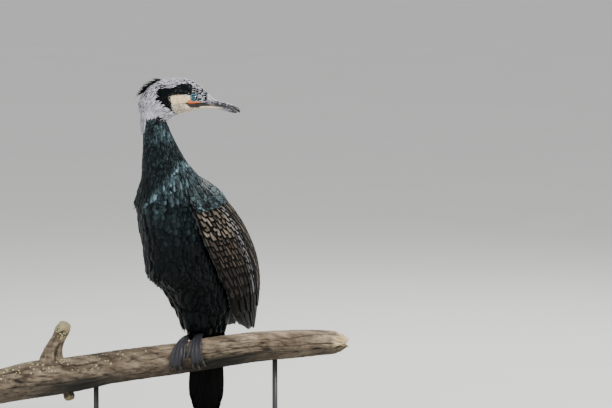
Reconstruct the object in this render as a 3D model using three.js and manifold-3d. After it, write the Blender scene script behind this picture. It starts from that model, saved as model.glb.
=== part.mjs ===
// Great cormorant in breeding plumage, life size, perched upright on a broken branch.
// Millimetres. The bird faces -Y, its left side is +X, and +Z is up.
// The origin is on the underside of the stand's base, below the bird's feet.
import * as THREE from 'three';
import { mergeVertices } from 'three/addons/utils/BufferGeometryUtils.js';
import Module from 'manifold-3d';

const wasm = await Module();
wasm.setup();

// Gap kept between neighbouring pieces.
const GAP = 0.3;

// Body and neck in level sections, from the vent up to the nape.
// z: height, y: middle, w: half width, f: reach to the front, b: reach to the back.
const BODY = [
  { z: 203, y: 58, w: 9, f: 9, b: 6 },
  { z: 212, y: 56, w: 26, f: 28, b: 16 },
  { z: 231, y: 50, w: 47, f: 57, b: 30 },
  { z: 265, y: 45, w: 62, f: 71, b: 46 },
  { z: 300, y: 34, w: 72, f: 90, b: 64 },
  { z: 334, y: 14, w: 78, f: 107, b: 86 },
  { z: 369, y: 0, w: 80, f: 100, b: 96 },
  { z: 403, y: -8, w: 80, f: 98, b: 90 },
  { z: 437, y: -20, w: 79, f: 93, b: 86 },
  { z: 472, y: -34, w: 75, f: 84, b: 76 },
  { z: 495, y: -44, w: 64, f: 72, b: 66 },
  { z: 518, y: -55, w: 52, f: 60, b: 55 },
  { z: 541, y: -68, w: 43, f: 50, b: 45 },
  { z: 566, y: -79, w: 36, f: 39, b: 38 },
  { z: 588, y: -87, w: 31, f: 32, b: 32 },
  { z: 608, y: -94, w: 27, f: 27, b: 28 },
  { z: 628, y: -101, w: 24, f: 24, b: 26 },
  { z: 646, y: -103, w: 21, f: 21, b: 24 },
];
const THIGH_LOW_Z = 217;
const BODY_SIDES = 24;
const BODY_LENGTHS = 22;
// Heights of the thin cuts that part the torso, the two neck lengths and the head.
const NECK_BASE_Z = 530;
const NECK_MIDDLE_Z = 582;
const HEAD_CUT_Z = 629;

// Head. It is turned to the bird's left: HEAD_YAW from +X towards +Y.
const HEAD_YAW = THREE.MathUtils.degToRad(30);
const EYE = { reach: 79.5, z: 667, side: 14.2, r: 6.4 };
// s: distance forward of the nape axis, top and low: heights, w: half width.
const HEAD = [
  { s: -28, top: 658, low: 641, w: 5 },
  { s: -22, top: 671, low: 626, w: 14 },
  { s: -12, top: 684, low: 614, w: 20 },
  { s: 4, top: 695, low: 613, w: 23 },
  { s: 20, top: 700.5, low: 620, w: 23.5 },
  { s: 38, top: 702.5, low: 631, w: 23.5 },
  { s: 55, top: 702, low: 636, w: 22.5 },
  { s: 70, top: 698, low: 639.5, w: 20.5 },
  { s: 86, top: 689.5, low: 644, w: 16.5 },
  { s: 97, top: 679.5, low: 646, w: 12.5 },
  { s: 106, top: 670, low: 647.5, w: 9.5 },
];
const NAPE_AXIS = new THREE.Vector2(3, -101.3);
const BILL_UPPER = [
  { s: 92, top: 678, low: 652.6, w: 10 },
  { s: 104, top: 672, low: 652, w: 9.5 },
  { s: 114, top: 663.5, low: 651.4, w: 8.5 },
  { s: 126, top: 659.3, low: 650, w: 7 },
  { s: 139, top: 656.5, low: 647.8, w: 6 },
  { s: 150, top: 653, low: 644.4, w: 5 },
  { s: 156, top: 650.6, low: 642.5, w: 4.6 },
  { s: 160, top: 647.5, low: 639.6, w: 3.6 },
  { s: 163, top: 643, low: 638.8, w: 1.6 },
];
const BILL_LOWER = [
  { s: 92, top: 652.2, low: 645.6, w: 10 },
  { s: 104, top: 651.6, low: 645.5, w: 9 },
  { s: 114, top: 651, low: 645.4, w: 8 },
  { s: 126, top: 649.6, low: 643.8, w: 6.4 },
  { s: 139, top: 647.4, low: 640.8, w: 5.2 },
  { s: 150, top: 644, low: 638.2, w: 4.2 },
  { s: 155, top: 642, low: 638, w: 2.6 },
  { s: 157.5, top: 640.6, low: 638.6, w: 1.2 },
];
// The bare throat skin starts this far forward, below this height.
const POUCH = { from: 46, to: 112, z: 649.5 };
// The gape runs on from the bill to below the eye: forward, out to the side, and height.
const GAPE = [[106, 7.6, 652], [96, 9.9, 652.6], [80, 15.2, 654.2], [64, 19.4, 656.6]];
const GAPE_RADIUS = { front: 1, rear: 0.6 };
const LID = { grow: 0.6, thick: 1.5, out: 2.6 };
// Crest: a low core on the back of the crown, and locks that stream back from it.
const CREST_CORE = [
  { s: -24, top: 664, low: 660, w: 2 },
  { s: -16, top: 681, low: 668, w: 5 },
  { s: 0, top: 695, low: 684, w: 6.5 },
  { s: 12, top: 700, low: 692, w: 6 },
  { s: 22, top: 702, low: 699, w: 2 },
];
const CREST_LOCKS = 9;
const CREST_LOCK = { frontS: 12, rearS: -18, frontZ: 696, rearZ: 672, length: 18, width: 4.2, thick: 1.8 };

// Wing, given for the bird's left and mirrored for its right.
const WING = {
  lead: [[66, -78, 468], [78, -52, 398], [81, -22, 346], [74, 19, 292], [57, 57, 238], [36, 126, 207]],
  trail: [[20, 40, 490], [26, 104, 420], [28, 142, 360], [25, 157, 310], [19, 163, 262], [21, 160, 210]],
  bulge: [[0, 30], [0.15, 40], [0.35, 38], [0.6, 31], [0.8, 23], [1, 4]],
};

const WING_SPLIT_Z = 344;
const FLIGHT_CORE_LOW_Z = 262;
const SCAPULARS = { from: 0.66, wide: 0.97, to: 0.6, thick: 2.2, under: 2.3 };

// Feather vanes of the folded wing. u runs from wrist to tip and v from the lower edge to the back.
const VANE_THICK = 0.6;
// How far a vane's leading edge stands over its neighbour.
const VANE_TILT = 1.3;
const COVERT_TIERS = [
  { from: 0.03, to: 0.2, count: 4, v0: 0.1, v1: 0.6, lift: 3.4 },
  { from: 0.14, to: 0.33, count: 5, v0: 0.07, v1: 0.62, lift: 3.2 },
  { from: 0.26, to: 0.46, count: 6, v0: 0.05, v1: 0.64, lift: 3 },
];
const SCAPULAR_TIERS = [
  { from: 0.02, to: 0.22, count: 3, v0: 0.68, v1: 0.95, lift: 5.4 },
  { from: 0.16, to: 0.38, count: 3, v0: 0.68, v1: 0.95, lift: 5.2 },
  { from: 0.31, to: 0.56, count: 3, v0: 0.69, v1: 0.95, lift: 5 },
  { from: 0.48, to: 0.72, count: 3, v0: 0.7, v1: 0.94, lift: 4.6 },
];
// The wing's own quills: secondaries first, then the primaries that make the tip.
const FLIGHT_TIERS = [
  { from: 0.55, to: 0.8, count: 6, v0: 0.06, v1: 0.96, lift: 3.2 },
  { from: 0.68, to: 1.0, count: 6, v0: 0.08, v1: 0.94, lift: 2.2 },
];

// Tail.
const TAIL = { root: [0, 56, 262], tip: [0, 46, 27], rootWidth: 46, width: 80, twist: 15, thick: 7 };
const QUILLS = { count: 12, vane: 19, step: 1.05, from: 0.2 };
const TAIL_CORE_REACH = 0.42;

// Branch: stations along it with the height of its middle and its radius.
const BRANCH_YAW = THREE.MathUtils.degToRad(22);
const BRANCH = [
  { s: -389, z: 92, r: 34 },
  { s: -330, z: 106, r: 36 },
  { s: -237, z: 121, r: 34 },
  { s: -143, z: 140, r: 31 },
  { s: -40, z: 158, r: 30 },
  { s: 30, z: 173, r: 30.5 },
  { s: 138, z: 192, r: 28.5 },
  { s: 256, z: 203, r: 24 },
  { s: 300, z: 205, r: 19 },
  { s: 316, z: 206, r: 9 },
];

// Broken side shoots of the branch.
const UPPER_STUB = {
  points: [[-262, -106, 118], [-258, -104, 160], [-244, -99, 196], [-232, -94, 219]],
  from: 24,
  to: 9,
};
const LOWER_STUB = {
  points: [[-232, -94, 112], [-226, -96, 88], [-219, -98, 74]],
  from: 17,
  to: 8,
};

// The feet stand close together on the branch, to either side of this place along it.
const FEET_MIDDLE = 5;
// Heel of a foot: out from the middle along the branch, round the bark, and off it.
// Round the bark, 90 degrees is the branch's top and 180 its front.
const HEEL = { along: 12, round: 62, lift: 9 };
// Toe tips: along the branch from the heel, and round it. The outer toe comes first.
const TOES = [
  { along: 22, round: 205, lift: 4 },
  { along: 10.5, round: 218, lift: 4 },
  { along: 0.5, round: 210, lift: 4 },
  { along: -8.5, round: 176, lift: 3.5 },
];
const TOE_RADIUS = { heel: 4.2, tip: 2.4 };
const WEB = { from: 0.1, to: 0.93, thick: 1.3, sink: 1, scallop: 0.16 };
const CLAW = { length: 12, root: 2.2, tip: 0.35 };
const ANKLE_RADIUS = 6.2;
// Leg above the foot, given for the bird's left.
const TARSUS = { top: [27, 26, 233], low: 4.2, high: 5.5 };
const THIGH_BOX = { x: 90, y: 84, z: 90, middle: [54, 6, 225] };

const BASE = { x: 400, y: 230, h: 18, middle: [-8, 0] };
const ROD_RADIUS = 5;
const ROD_STATIONS = [-190, 170];

const COLOURS = {
  plumage: 0x0b1417,
  neck: 0x14292f,
  white: 0xb9b6c8,
  horn: 0x6f6b66,
  skin: 0xd9b98c,
  eye: 0x2f8f86,
  wing: 0x4c443c,
  flight: 0x1f1d1c,
  foot: 0x2b303a,
  wood: 0x857a6b,
  stand: 0x2a2a2c,
};

const { lerp } = THREE.MathUtils;

// Turns a closed geometry into a solid, facing outwards.
function solidOf(geometry) {
  const bare = geometry.clone();
  bare.deleteAttribute('normal');
  bare.deleteAttribute('uv');
  const merged = mergeVertices(bare, 1e-4);
  const vertices = new Float32Array(merged.attributes.position.array);
  const indices = new Uint32Array(merged.index.array);
  const kept = [];
  for (let i = 0; i < indices.length; i += 3) {
    const [a, b, c] = [indices[i], indices[i + 1], indices[i + 2]];
    if (a !== b && b !== c && a !== c) kept.push(a, b, c);
  }
  const corner = (i) => new THREE.Vector3().fromArray(vertices, 3 * i);
  let volume = 0;
  for (let i = 0; i < kept.length; i += 3) {
    volume += corner(kept[i]).dot(corner(kept[i + 1]).cross(corner(kept[i + 2])));
  }
  if (volume < 0) {
    for (let i = 0; i < kept.length; i += 3) [kept[i], kept[i + 1]] = [kept[i + 1], kept[i]];
  }
  const mesh = new wasm.Mesh({ numProp: 3, vertProperties: vertices, triVerts: new Uint32Array(kept) });
  return new wasm.Manifold(mesh);
}

// The largest closed surface of a solid, as a geometry.
function geometryOf(solid) {
  const pieces = solid.decompose().sort((a, b) => b.volume() - a.volume());
  const mesh = pieces[0].getMesh();
  const geometry = new THREE.BufferGeometry();
  geometry.setAttribute('position', new THREE.BufferAttribute(new Float32Array(mesh.vertProperties), 3));
  geometry.setIndex(new THREE.BufferAttribute(new Uint32Array(mesh.triVerts), 1));
  return geometry;
}

function union(solids) {
  return solids.reduce((sum, next) => sum.add(next));
}

// A closed tube-like form: ringAt(t, angle) gives the surface, centreAt(t) its middle.
function loft(lengths, sides, centreAt, ringAt) {
  const geometry = new THREE.CylinderGeometry(1, 1, 1, sides, lengths);
  const place = geometry.attributes.position;
  for (let i = 0; i < place.count; i += 1) {
    const t = 0.5 - place.getY(i);
    const onAxis = Math.hypot(place.getX(i), place.getZ(i)) < 0.5;
    const angle = Math.atan2(place.getZ(i), place.getX(i));
    const p = onAxis ? centreAt(t) : ringAt(t, angle);
    place.setXYZ(i, p.x, p.y, p.z);
  }
  return solidOf(geometry);
}

// Smooth value of one field of a list of stations at t from 0 to 1, spaced by the field `by`.
function stationCurve(stations, field, by) {
  const low = stations[0][by];
  const high = stations[stations.length - 1][by];
  return (t) => {
    const want = low + (high - low) * t;
    let i = 0;
    while (i < stations.length - 2 && stations[i + 1][by] < want) i += 1;
    const [p1, p2] = [stations[i], stations[i + 1]];
    const p0 = stations[i - 1] ?? p1;
    const p3 = stations[i + 2] ?? p2;
    const span = p2[by] - p1[by];
    const u = (want - p1[by]) / span;
    const m1 = p0 === p1 ? (p2[field] - p1[field]) : (p2[field] - p0[field]) / (p2[by] - p0[by]) * span;
    const m2 = p3 === p2 ? (p2[field] - p1[field]) : (p3[field] - p1[field]) / (p3[by] - p1[by]) * span;
    const [uu, uuu] = [u * u, u * u * u];
    return (2 * uuu - 3 * uu + 1) * p1[field] + (uuu - 2 * uu + u) * m1
      + (-2 * uuu + 3 * uu) * p2[field] + (uuu - uu) * m2;
  };
}

function bodyForm(offset) {
  const y = stationCurve(BODY, 'y', 'z');
  const w = stationCurve(BODY, 'w', 'z');
  const f = stationCurve(BODY, 'f', 'z');
  const b = stationCurve(BODY, 'b', 'z');
  const low = BODY[0].z;
  const high = BODY[BODY.length - 1].z;
  const height = (t) => low - offset + (high - low + 2 * offset) * t;
  return loft(
    BODY_LENGTHS,
    BODY_SIDES,
    (t) => new THREE.Vector3(0, y(t), height(t)),
    (t, angle) => {
      const reach = Math.sin(angle) < 0 ? f(t) : b(t);
      return new THREE.Vector3(
        (w(t) + offset) * Math.cos(angle),
        y(t) + (reach + offset) * Math.sin(angle),
        height(t),
      );
    },
  );
}

// A level slab of space between two heights.
function slab(low, high) {
  const box = new THREE.BoxGeometry(900, 900, high - low);
  box.translate(0, 0, (low + high) / 2);
  return solidOf(box);
}

const headDirection = new THREE.Vector3(Math.cos(HEAD_YAW), Math.sin(HEAD_YAW), 0);
const headRight = new THREE.Vector3(Math.sin(HEAD_YAW), -Math.cos(HEAD_YAW), 0);

// A point of the head: forward of the nape, to the head's right, and its height.
function headPoint(forward, side, z) {
  return new THREE.Vector3(NAPE_AXIS.x, NAPE_AXIS.y, z)
    .addScaledVector(headDirection, forward)
    .addScaledVector(headRight, side);
}

// A form of the head or bill, from its stations.
function headPart(stations, lengths, sides, offset) {
  const top = stationCurve(stations, 'top', 's');
  const low = stationCurve(stations, 'low', 's');
  const w = stationCurve(stations, 'w', 's');
  const start = stations[0].s - offset;
  const end = stations[stations.length - 1].s + offset;
  return loft(
    lengths,
    sides,
    (t) => headPoint(lerp(start, end, t), 0, (top(t) + low(t)) / 2),
    (t, angle) => headPoint(
      lerp(start, end, t),
      (w(t) + offset) * Math.cos(angle),
      (top(t) + low(t)) / 2 + ((top(t) - low(t)) / 2 + offset) * Math.sin(angle),
    ),
  );
}

// A box in the head's own directions.
function headBox(fromS, toS, fromZ, toZ, halfWidth) {
  const box = new THREE.BoxGeometry(toS - fromS, 2 * halfWidth, toZ - fromZ);
  box.translate((fromS + toS) / 2, 0, (fromZ + toZ) / 2);
  box.rotateZ(HEAD_YAW);
  box.translate(NAPE_AXIS.x, NAPE_AXIS.y, 0);
  return solidOf(box);
}

function named(name, solid, colour, roughness = 0.7) {
  const material = new THREE.MeshStandardMaterial({ color: colour, roughness, metalness: 0 });
  const mesh = new THREE.Mesh(geometryOf(solid), material);
  mesh.name = name;
  return mesh;
}

function mirrored(solid) {
  return solid.mirror([1, 0, 0]);
}

function curveOf(points) {
  return new THREE.CatmullRomCurve3(points.map((p) => new THREE.Vector3(...p)), false, 'centripetal');
}

const bulgeCurve = stationCurve(WING.bulge.map(([u, bulge]) => ({ u, bulge })), 'bulge', 'u');
const wingLead = curveOf(WING.lead);
const wingTrail = curveOf(WING.trail);

// A point of the folded wing: u from wrist to tip, v from its lower edge to the back.
function wingPoint(u, v, share, lift) {
  const a = wingLead.getPoint(u);
  const b = wingTrail.getPoint(u);
  const chord = b.clone().sub(a);
  const out = new THREE.Vector3(chord.y, -chord.x, 0).normalize();
  const bulge = bulgeCurve(u) * Math.sin(Math.PI * v) ** 0.8 * share;
  return a.addScaledVector(chord, v).addScaledVector(out, bulge + lift);
}

function wingForm(offset) {
  return loft(
    12,
    14,
    (t) => wingPoint(t, 0.5, 0.6, 0),
    (t, angle) => {
      const v = (1 - Math.cos(angle)) / 2;
      const outer = Math.sin(angle);
      const lift = (1.5 + offset) * outer;
      return outer >= 0 ? wingPoint(t, v, 1, lift) : wingPoint(t, v, 0.25, lift);
    },
  );
}

// A flat tapered plate between the two edge lines of a feather, alike on both faces.
function vaneSolid(edgeAt, normalAt, lengths, thick) {
  const plate = new THREE.BoxGeometry(1, 1, 1, 1, 1, lengths);
  const place = plate.attributes.position;
  for (let i = 0; i < place.count; i += 1) {
    const t = place.getZ(i) + 0.5;
    const side = Math.sign(place.getX(i));
    const face = Math.sign(place.getY(i));
    const p = edgeAt(t, side).addScaledVector(normalAt(t), face * thick / 2);
    place.setXYZ(i, p.x, p.y, p.z);
  }
  return solidOf(plate);
}

// Share of a feather's full width at t from root to tip.
function vaneOutline(t) {
  return t < 0.75 ? lerp(0.7, 1, Math.min(1, 2.5 * t)) : Math.sqrt(1 - ((t - 0.75) / 0.262) ** 2);
}

// One tier of the wing's feathers, side by side and each over the next.
function wingTier(tier, root = 0.4, lengths = 3) {
  const pitch = (tier.v1 - tier.v0) / tier.count;
  return Array.from({ length: tier.count }, (_, i) => {
    const v = tier.v0 + pitch * (i + 0.5);
    const reach = tier.to - (tier.to - tier.from) * 0.07 * ((i * 3) % 4) / 3;
    const half = pitch * 0.66;
    const edgeAt = (t, side) => {
      const u = lerp(tier.from, reach, t);
      const at = THREE.MathUtils.clamp(v + side * half * vaneOutline(t), 0.012, 0.985);
      return wingPoint(u, at, 1, lerp(root, tier.lift, t) + (side < 0 ? VANE_TILT : 0) * Math.min(1, 3 * t));
    };
    const normalAt = (t) => {
      const u = lerp(tier.from, reach, t);
      return wingPoint(u, v, 1, 1).sub(wingPoint(u, v, 1, 0)).normalize();
    };
    return vaneSolid(edgeAt, normalAt, lengths, VANE_THICK);
  });
}

// The shoulder feathers lie over the wing's upper edge, beside the back.
function scapularForm() {
  const { from, to, wide, thick, under } = SCAPULARS;
  return loft(
    7,
    8,
    (t) => wingPoint(lerp(0, to, t), (from + wide) / 2, 1, under + thick / 4),
    (t, angle) => {
      const v = lerp(from, wide, (1 - Math.cos(angle)) / 2);
      const lift = under + Math.max(0, thick * Math.sin(angle) * (1 - 0.5 * t));
      return wingPoint(lerp(0, to, t), v, 1, lift);
    },
  );
}

// Tail quills lie side by side in steps, the middle pair behind, and join only in the tail's root.
function tailForm() {
  const twist = THREE.MathUtils.degToRad(TAIL.twist);
  const across = new THREE.Vector3(Math.cos(twist), Math.sin(twist), 0);
  const through = new THREE.Vector3(-Math.sin(twist), Math.cos(twist), 0);
  const root = new THREE.Vector3(...TAIL.root);
  const tip = new THREE.Vector3(...TAIL.tip);
  const core = loft(
    4,
    10,
    (t) => root.clone().lerp(tip, TAIL_CORE_REACH * t),
    (t, angle) => root.clone().lerp(tip, TAIL_CORE_REACH * t)
      .addScaledVector(across, lerp(TAIL.rootWidth, TAIL.width * 0.62, t) / 2 * Math.cos(angle))
      .addScaledVector(through, lerp(TAIL.thick, 3, t) * Math.sin(angle)),
  );
  const halfCount = (QUILLS.count - 1) / 2;
  const vanes = Array.from({ length: QUILLS.count }, (_, i) => {
    const k = i - halfCount;
    const share = k / halfCount;
    const reach = 1 - 0.2 * share * share;
    const step = QUILLS.step * (halfCount / 2 - Math.abs(k));
    const edgeAt = (t, side) => {
      const middle = share * lerp(TAIL.rootWidth * 0.4, (TAIL.width - QUILLS.vane) / 2, t);
      return root.clone().lerp(tip, lerp(QUILLS.from, reach, t))
        .addScaledVector(across, middle + side * QUILLS.vane / 2 * vaneOutline(t))
        .addScaledVector(through, step);
    };
    return vaneSolid(edgeAt, () => through, 4, VANE_THICK);
  });
  return union([core, ...vanes]);
}

const branchDirection = new THREE.Vector3(Math.cos(BRANCH_YAW), Math.sin(BRANCH_YAW), 0);
const branchSide = new THREE.Vector3(-Math.sin(BRANCH_YAW), Math.cos(BRANCH_YAW), 0);
const branchHeight = stationCurve(BRANCH, 'z', 's');
const branchRadius = stationCurve(BRANCH, 'r', 's');

// The branch isn't quite round.
function barkSwell(t, angle) {
  return 1 + 0.04 * Math.sin(3 * angle + 9 * t);
}

function branchForm(offset) {
  const start = BRANCH[0].s;
  const end = BRANCH[BRANCH.length - 1].s;
  return loft(
    20,
    12,
    (t) => branchDirection.clone().multiplyScalar(lerp(start, end, t)).setZ(branchHeight(t)),
    (t, angle) => {
      const r = branchRadius(t) * barkSwell(t, angle) + offset;
      return branchDirection.clone().multiplyScalar(lerp(start, end, t))
        .addScaledVector(branchSide, r * Math.cos(angle))
        .setZ(branchHeight(t) + r * Math.sin(angle));
    },
  );
}

function tube(points, radii, sides = 10, lengths = 10) {
  const curve = curveOf(points);
  const frames = curve.computeFrenetFrames(lengths, false);
  return loft(
    lengths,
    sides,
    (t) => curve.getPointAt(t),
    (t, angle) => {
      const i = Math.round(t * lengths);
      const r = radii(t);
      return curve.getPointAt(t)
        .addScaledVector(frames.normals[i], r * Math.cos(angle))
        .addScaledVector(frames.binormals[i], r * Math.sin(angle));
    },
  );
}

function sphereAt(point, radius, sides = 16) {
  const ball = new THREE.SphereGeometry(radius, sides, Math.round(sides * 0.6));
  ball.translate(point.x, point.y, point.z);
  return solidOf(ball);
}

// A point on the branch's bark: along it, round it (90 degrees is its top, 180 its front), and off it.
function barkPoint(along, round, lift) {
  const t = (along - BRANCH[0].s) / (BRANCH[BRANCH.length - 1].s - BRANCH[0].s);
  const angle = THREE.MathUtils.degToRad(round);
  const r = branchRadius(t) * barkSwell(t, angle) + lift;
  return branchDirection.clone().multiplyScalar(along)
    .addScaledVector(branchSide, r * Math.cos(angle))
    .setZ(branchHeight(t) + r * Math.sin(angle));
}

function toePath(side, toe) {
  const steps = 9;
  const points = [];
  for (let i = 0; i <= steps; i += 1) {
    const t = i / steps;
    const along = FEET_MIDDLE + side * lerp(HEEL.along, HEEL.along + toe.along, t ** 0.8);
    const round = lerp(HEEL.round, toe.round, t);
    const lift = lerp(HEEL.lift, toe.lift, Math.min(1, 2.5 * t)) + GAP;
    points.push(barkPoint(along, round, lift).toArray());
  }
  return points;
}

function footSolid(side) {
  const toeRadius = (t) => lerp(TOE_RADIUS.heel, TOE_RADIUS.tip, t);
  const toes = TOES.map((toe) => tube(toePath(side, toe), toeRadius, 5, 5));
  const paths = TOES.map((toe) => curveOf(toePath(side, toe)));
  const reach = WEB.to - WEB.from;
  const webs = [];
  for (let i = 0; i < paths.length - 1; i += 1) {
    webs.push(loft(
      5,
      6,
      (t) => paths[i].getPoint(WEB.from + reach * t).lerp(paths[i + 1].getPoint(WEB.from + reach * t), 0.5),
      (t, angle) => {
        const across = (1 - Math.cos(angle)) / 2;
        const scallop = 1 - WEB.scallop * Math.sin(Math.PI * across) * t;
        const at = WEB.from + reach * t * scallop;
        const p = paths[i].getPoint(at).lerp(paths[i + 1].getPoint(at), across);
        const axis = barkAxis(p);
        const out = p.clone().sub(axis).normalize();
        return p.addScaledVector(out, WEB.thick * Math.sin(angle) - WEB.sink);
      },
    ));
  }
  const claws = TOES.map((toe, i) => {
    const end = paths[i].getPoint(1);
    const before = paths[i].getPoint(0.9);
    const forward = end.clone().sub(before).normalize();
    const out = end.clone().sub(barkAxis(end)).normalize();
    const at = (along, off) => end.clone()
      .addScaledVector(forward, along)
      .addScaledVector(out, off)
      .toArray();
    const line = [at(-3, 0), at(CLAW.length / 4, 0.8), at(CLAW.length * 2 / 3, 0), at(CLAW.length, -2)];
    return tube(line, (t) => lerp(CLAW.root, CLAW.tip, t), 4, 3);
  });
  const ankle = sphereAt(heelPoint(side), ANKLE_RADIUS, 8);
  return union([ankle, ...toes, ...webs, ...claws]).subtract(branchSpace);
}

// Where a foot's ankle sits on the branch.
function heelPoint(side) {
  return barkPoint(FEET_MIDDLE + side * HEEL.along, HEEL.round, HEEL.lift);
}

// The nearest point of the branch's middle line.
function barkAxis(p) {
  const along = p.x * branchDirection.x + p.y * branchDirection.y;
  const t = (along - BRANCH[0].s) / (BRANCH[BRANCH.length - 1].s - BRANCH[0].s);
  return branchDirection.clone().multiplyScalar(along).setZ(branchHeight(t));
}

function crestLock(i) {
  const t = i / (CREST_LOCKS - 1);
  const { frontS, rearS, frontZ, rearZ, width, thick } = CREST_LOCK;
  const root = headPoint(lerp(frontS, rearS, t), 2 * Math.sin(5 * i), lerp(frontZ, rearZ, t));
  const length = CREST_LOCK.length + 4 * Math.sin(Math.PI * t) + 2 * Math.cos(7 * i);
  const rise = lerp(0.3, -0.2, t);
  const side = 0.22 * Math.sin(9 * i);
  const tip = headPoint(-length, 0, 0).sub(headPoint(0, 0, 0));
  const curl = (u) => root.clone()
    .addScaledVector(tip, u)
    .addScaledVector(headRight, length * side * u)
    .add(new THREE.Vector3(0, 0, length * (rise * u - 0.25 * u * u)));
  const up = new THREE.Vector3(0, 0, 1);
  return loft(
    3,
    6,
    (u) => curl(u - 0.2),
    (u, angle) => curl(u - 0.2)
      .addScaledVector(headRight, lerp(width, 0.5, u) * Math.cos(angle))
      .addScaledVector(up, lerp(thick, 0.35, u) * Math.sin(angle)),
  );
}

const flesh = bodyForm(0);
const fleshSpace = bodyForm(GAP);
const branchSpace = branchForm(GAP);
const skull = headPart(HEAD, 13, 16, 0);
const skullSpace = union([headPart(HEAD, 13, 16, GAP), fleshSpace]);

function thighBox(side, grow) {
  const [x, y, z] = THIGH_BOX.middle;
  const box = new THREE.BoxGeometry(THIGH_BOX.x + grow, THIGH_BOX.y + 2 * grow, THIGH_BOX.z + grow);
  box.translate(side * (x - grow / 2), y, z + grow / 2);
  return solidOf(box);
}

const torsoSolid = flesh.intersect(slab(0, NECK_BASE_Z))
  .subtract(thighBox(1, 2 * GAP)).subtract(thighBox(-1, 2 * GAP));

// The line of the mouth, a groove on each side.
const mouthLine = (side) => tube(
  GAPE.map(([s, out, z]) => headPoint(s, side * out, z).toArray()),
  (t) => lerp(GAPE_RADIUS.front, GAPE_RADIUS.rear, t),
  5,
  5,
);
const headWhole = union([skull, flesh]).intersect(slab(HEAD_CUT_Z + GAP, 800));
const pouchSolid = headWhole.intersect(headBox(POUCH.from, POUCH.to, 600, POUCH.z, 40));
const headWithoutPouch = headWhole
  .subtract(headBox(POUCH.from - GAP, POUCH.to + GAP, 600, POUCH.z + GAP, 40));

function lidRing(side) {
  const ring = new THREE.TorusGeometry(EYE.r + LID.grow, LID.thick, 5, 14);
  ring.rotateX(Math.PI / 2);
  ring.rotateZ(HEAD_YAW);
  const at = headPoint(EYE.reach, side * (EYE.side + LID.out), EYE.z);
  ring.translate(at.x, at.y, at.z);
  return solidOf(ring);
}

const eyeAt = (side) => headPoint(EYE.reach, side * EYE.side, EYE.z);
const headSolid = union([headWithoutPouch, lidRing(1), lidRing(-1)])
  .subtract(mouthLine(1)).subtract(mouthLine(-1))
  .subtract(sphereAt(eyeAt(1), EYE.r + GAP, 14)).subtract(sphereAt(eyeAt(-1), EYE.r + GAP, 14));

const billUpper = headPart(BILL_UPPER, 12, 12, 0).subtract(skullSpace);
const billLower = headPart(BILL_LOWER, 10, 12, 0).subtract(skullSpace);

const crestCore = headPart(CREST_CORE, 8, 8, 0);
const crestLocks = Array.from({ length: CREST_LOCKS }, (_, i) => crestLock(i));
const crestSolid = union([crestCore, ...crestLocks]).subtract(skullSpace);

const wingWhole = wingForm(0).subtract(fleshSpace);
const aboveSplit = slab(WING_SPLIT_Z + GAP, 600);
const belowSplit = slab(0, WING_SPLIT_Z);
const covertVanes = COVERT_TIERS.flatMap((tier) => wingTier(tier));
const covertsSolid = union([wingWhole, ...covertVanes]).subtract(fleshSpace).intersect(aboveSplit);
const flightCore = wingForm(-1.2).intersect(slab(FLIGHT_CORE_LOW_Z, WING_SPLIT_Z));
const flightVanes = FLIGHT_TIERS.flatMap((tier) => wingTier(tier, -0.6, 3));
const flightSolid = union([flightCore, ...flightVanes]).subtract(fleshSpace).intersect(belowSplit);
const scapularVanes = SCAPULAR_TIERS.flatMap((tier) => wingTier(tier, 3.4));
const scapularSolid = union([scapularForm(), ...scapularVanes]).subtract(fleshSpace);
const tailSolid = tailForm().subtract(fleshSpace).subtract(branchSpace);


function tarsusSolid(side) {
  const heel = heelPoint(side);
  const [x, y, z] = TARSUS.top;
  const top = new THREE.Vector3(side * x, y, z);
  const up = top.clone().sub(heel).normalize();
  const start = heel.clone().addScaledVector(up, ANKLE_RADIUS + 1.1);
  const points = [start.toArray(), start.clone().lerp(top, 0.5).toArray(), top.toArray()];
  return tube(points, (t) => lerp(TARSUS.low, TARSUS.high, t), 10, 6)
    .subtract(slab(THIGH_LOW_Z - GAP, 400)).subtract(torsoSolid);
}

function stubSolid({ points, from, to }) {
  return tube(points, (t) => lerp(from, to, t) * (1 + 0.15 * Math.sin(9 * t)), 9, 6);
}

const branchSolid = union([branchForm(0), stubSolid(UPPER_STUB), stubSolid(LOWER_STUB)]);

function rodSolid(station) {
  const at = branchDirection.clone().multiplyScalar(station);
  const t = (station - BRANCH[0].s) / (BRANCH[BRANCH.length - 1].s - BRANCH[0].s);
  const top = branchHeight(t);
  const rod = new THREE.CylinderGeometry(ROD_RADIUS, ROD_RADIUS, top - BASE.h - GAP, 20);
  rod.rotateX(Math.PI / 2);
  rod.translate(at.x, at.y, (top + BASE.h + GAP) / 2);
  return solidOf(rod).subtract(branchSpace);
}

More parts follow.
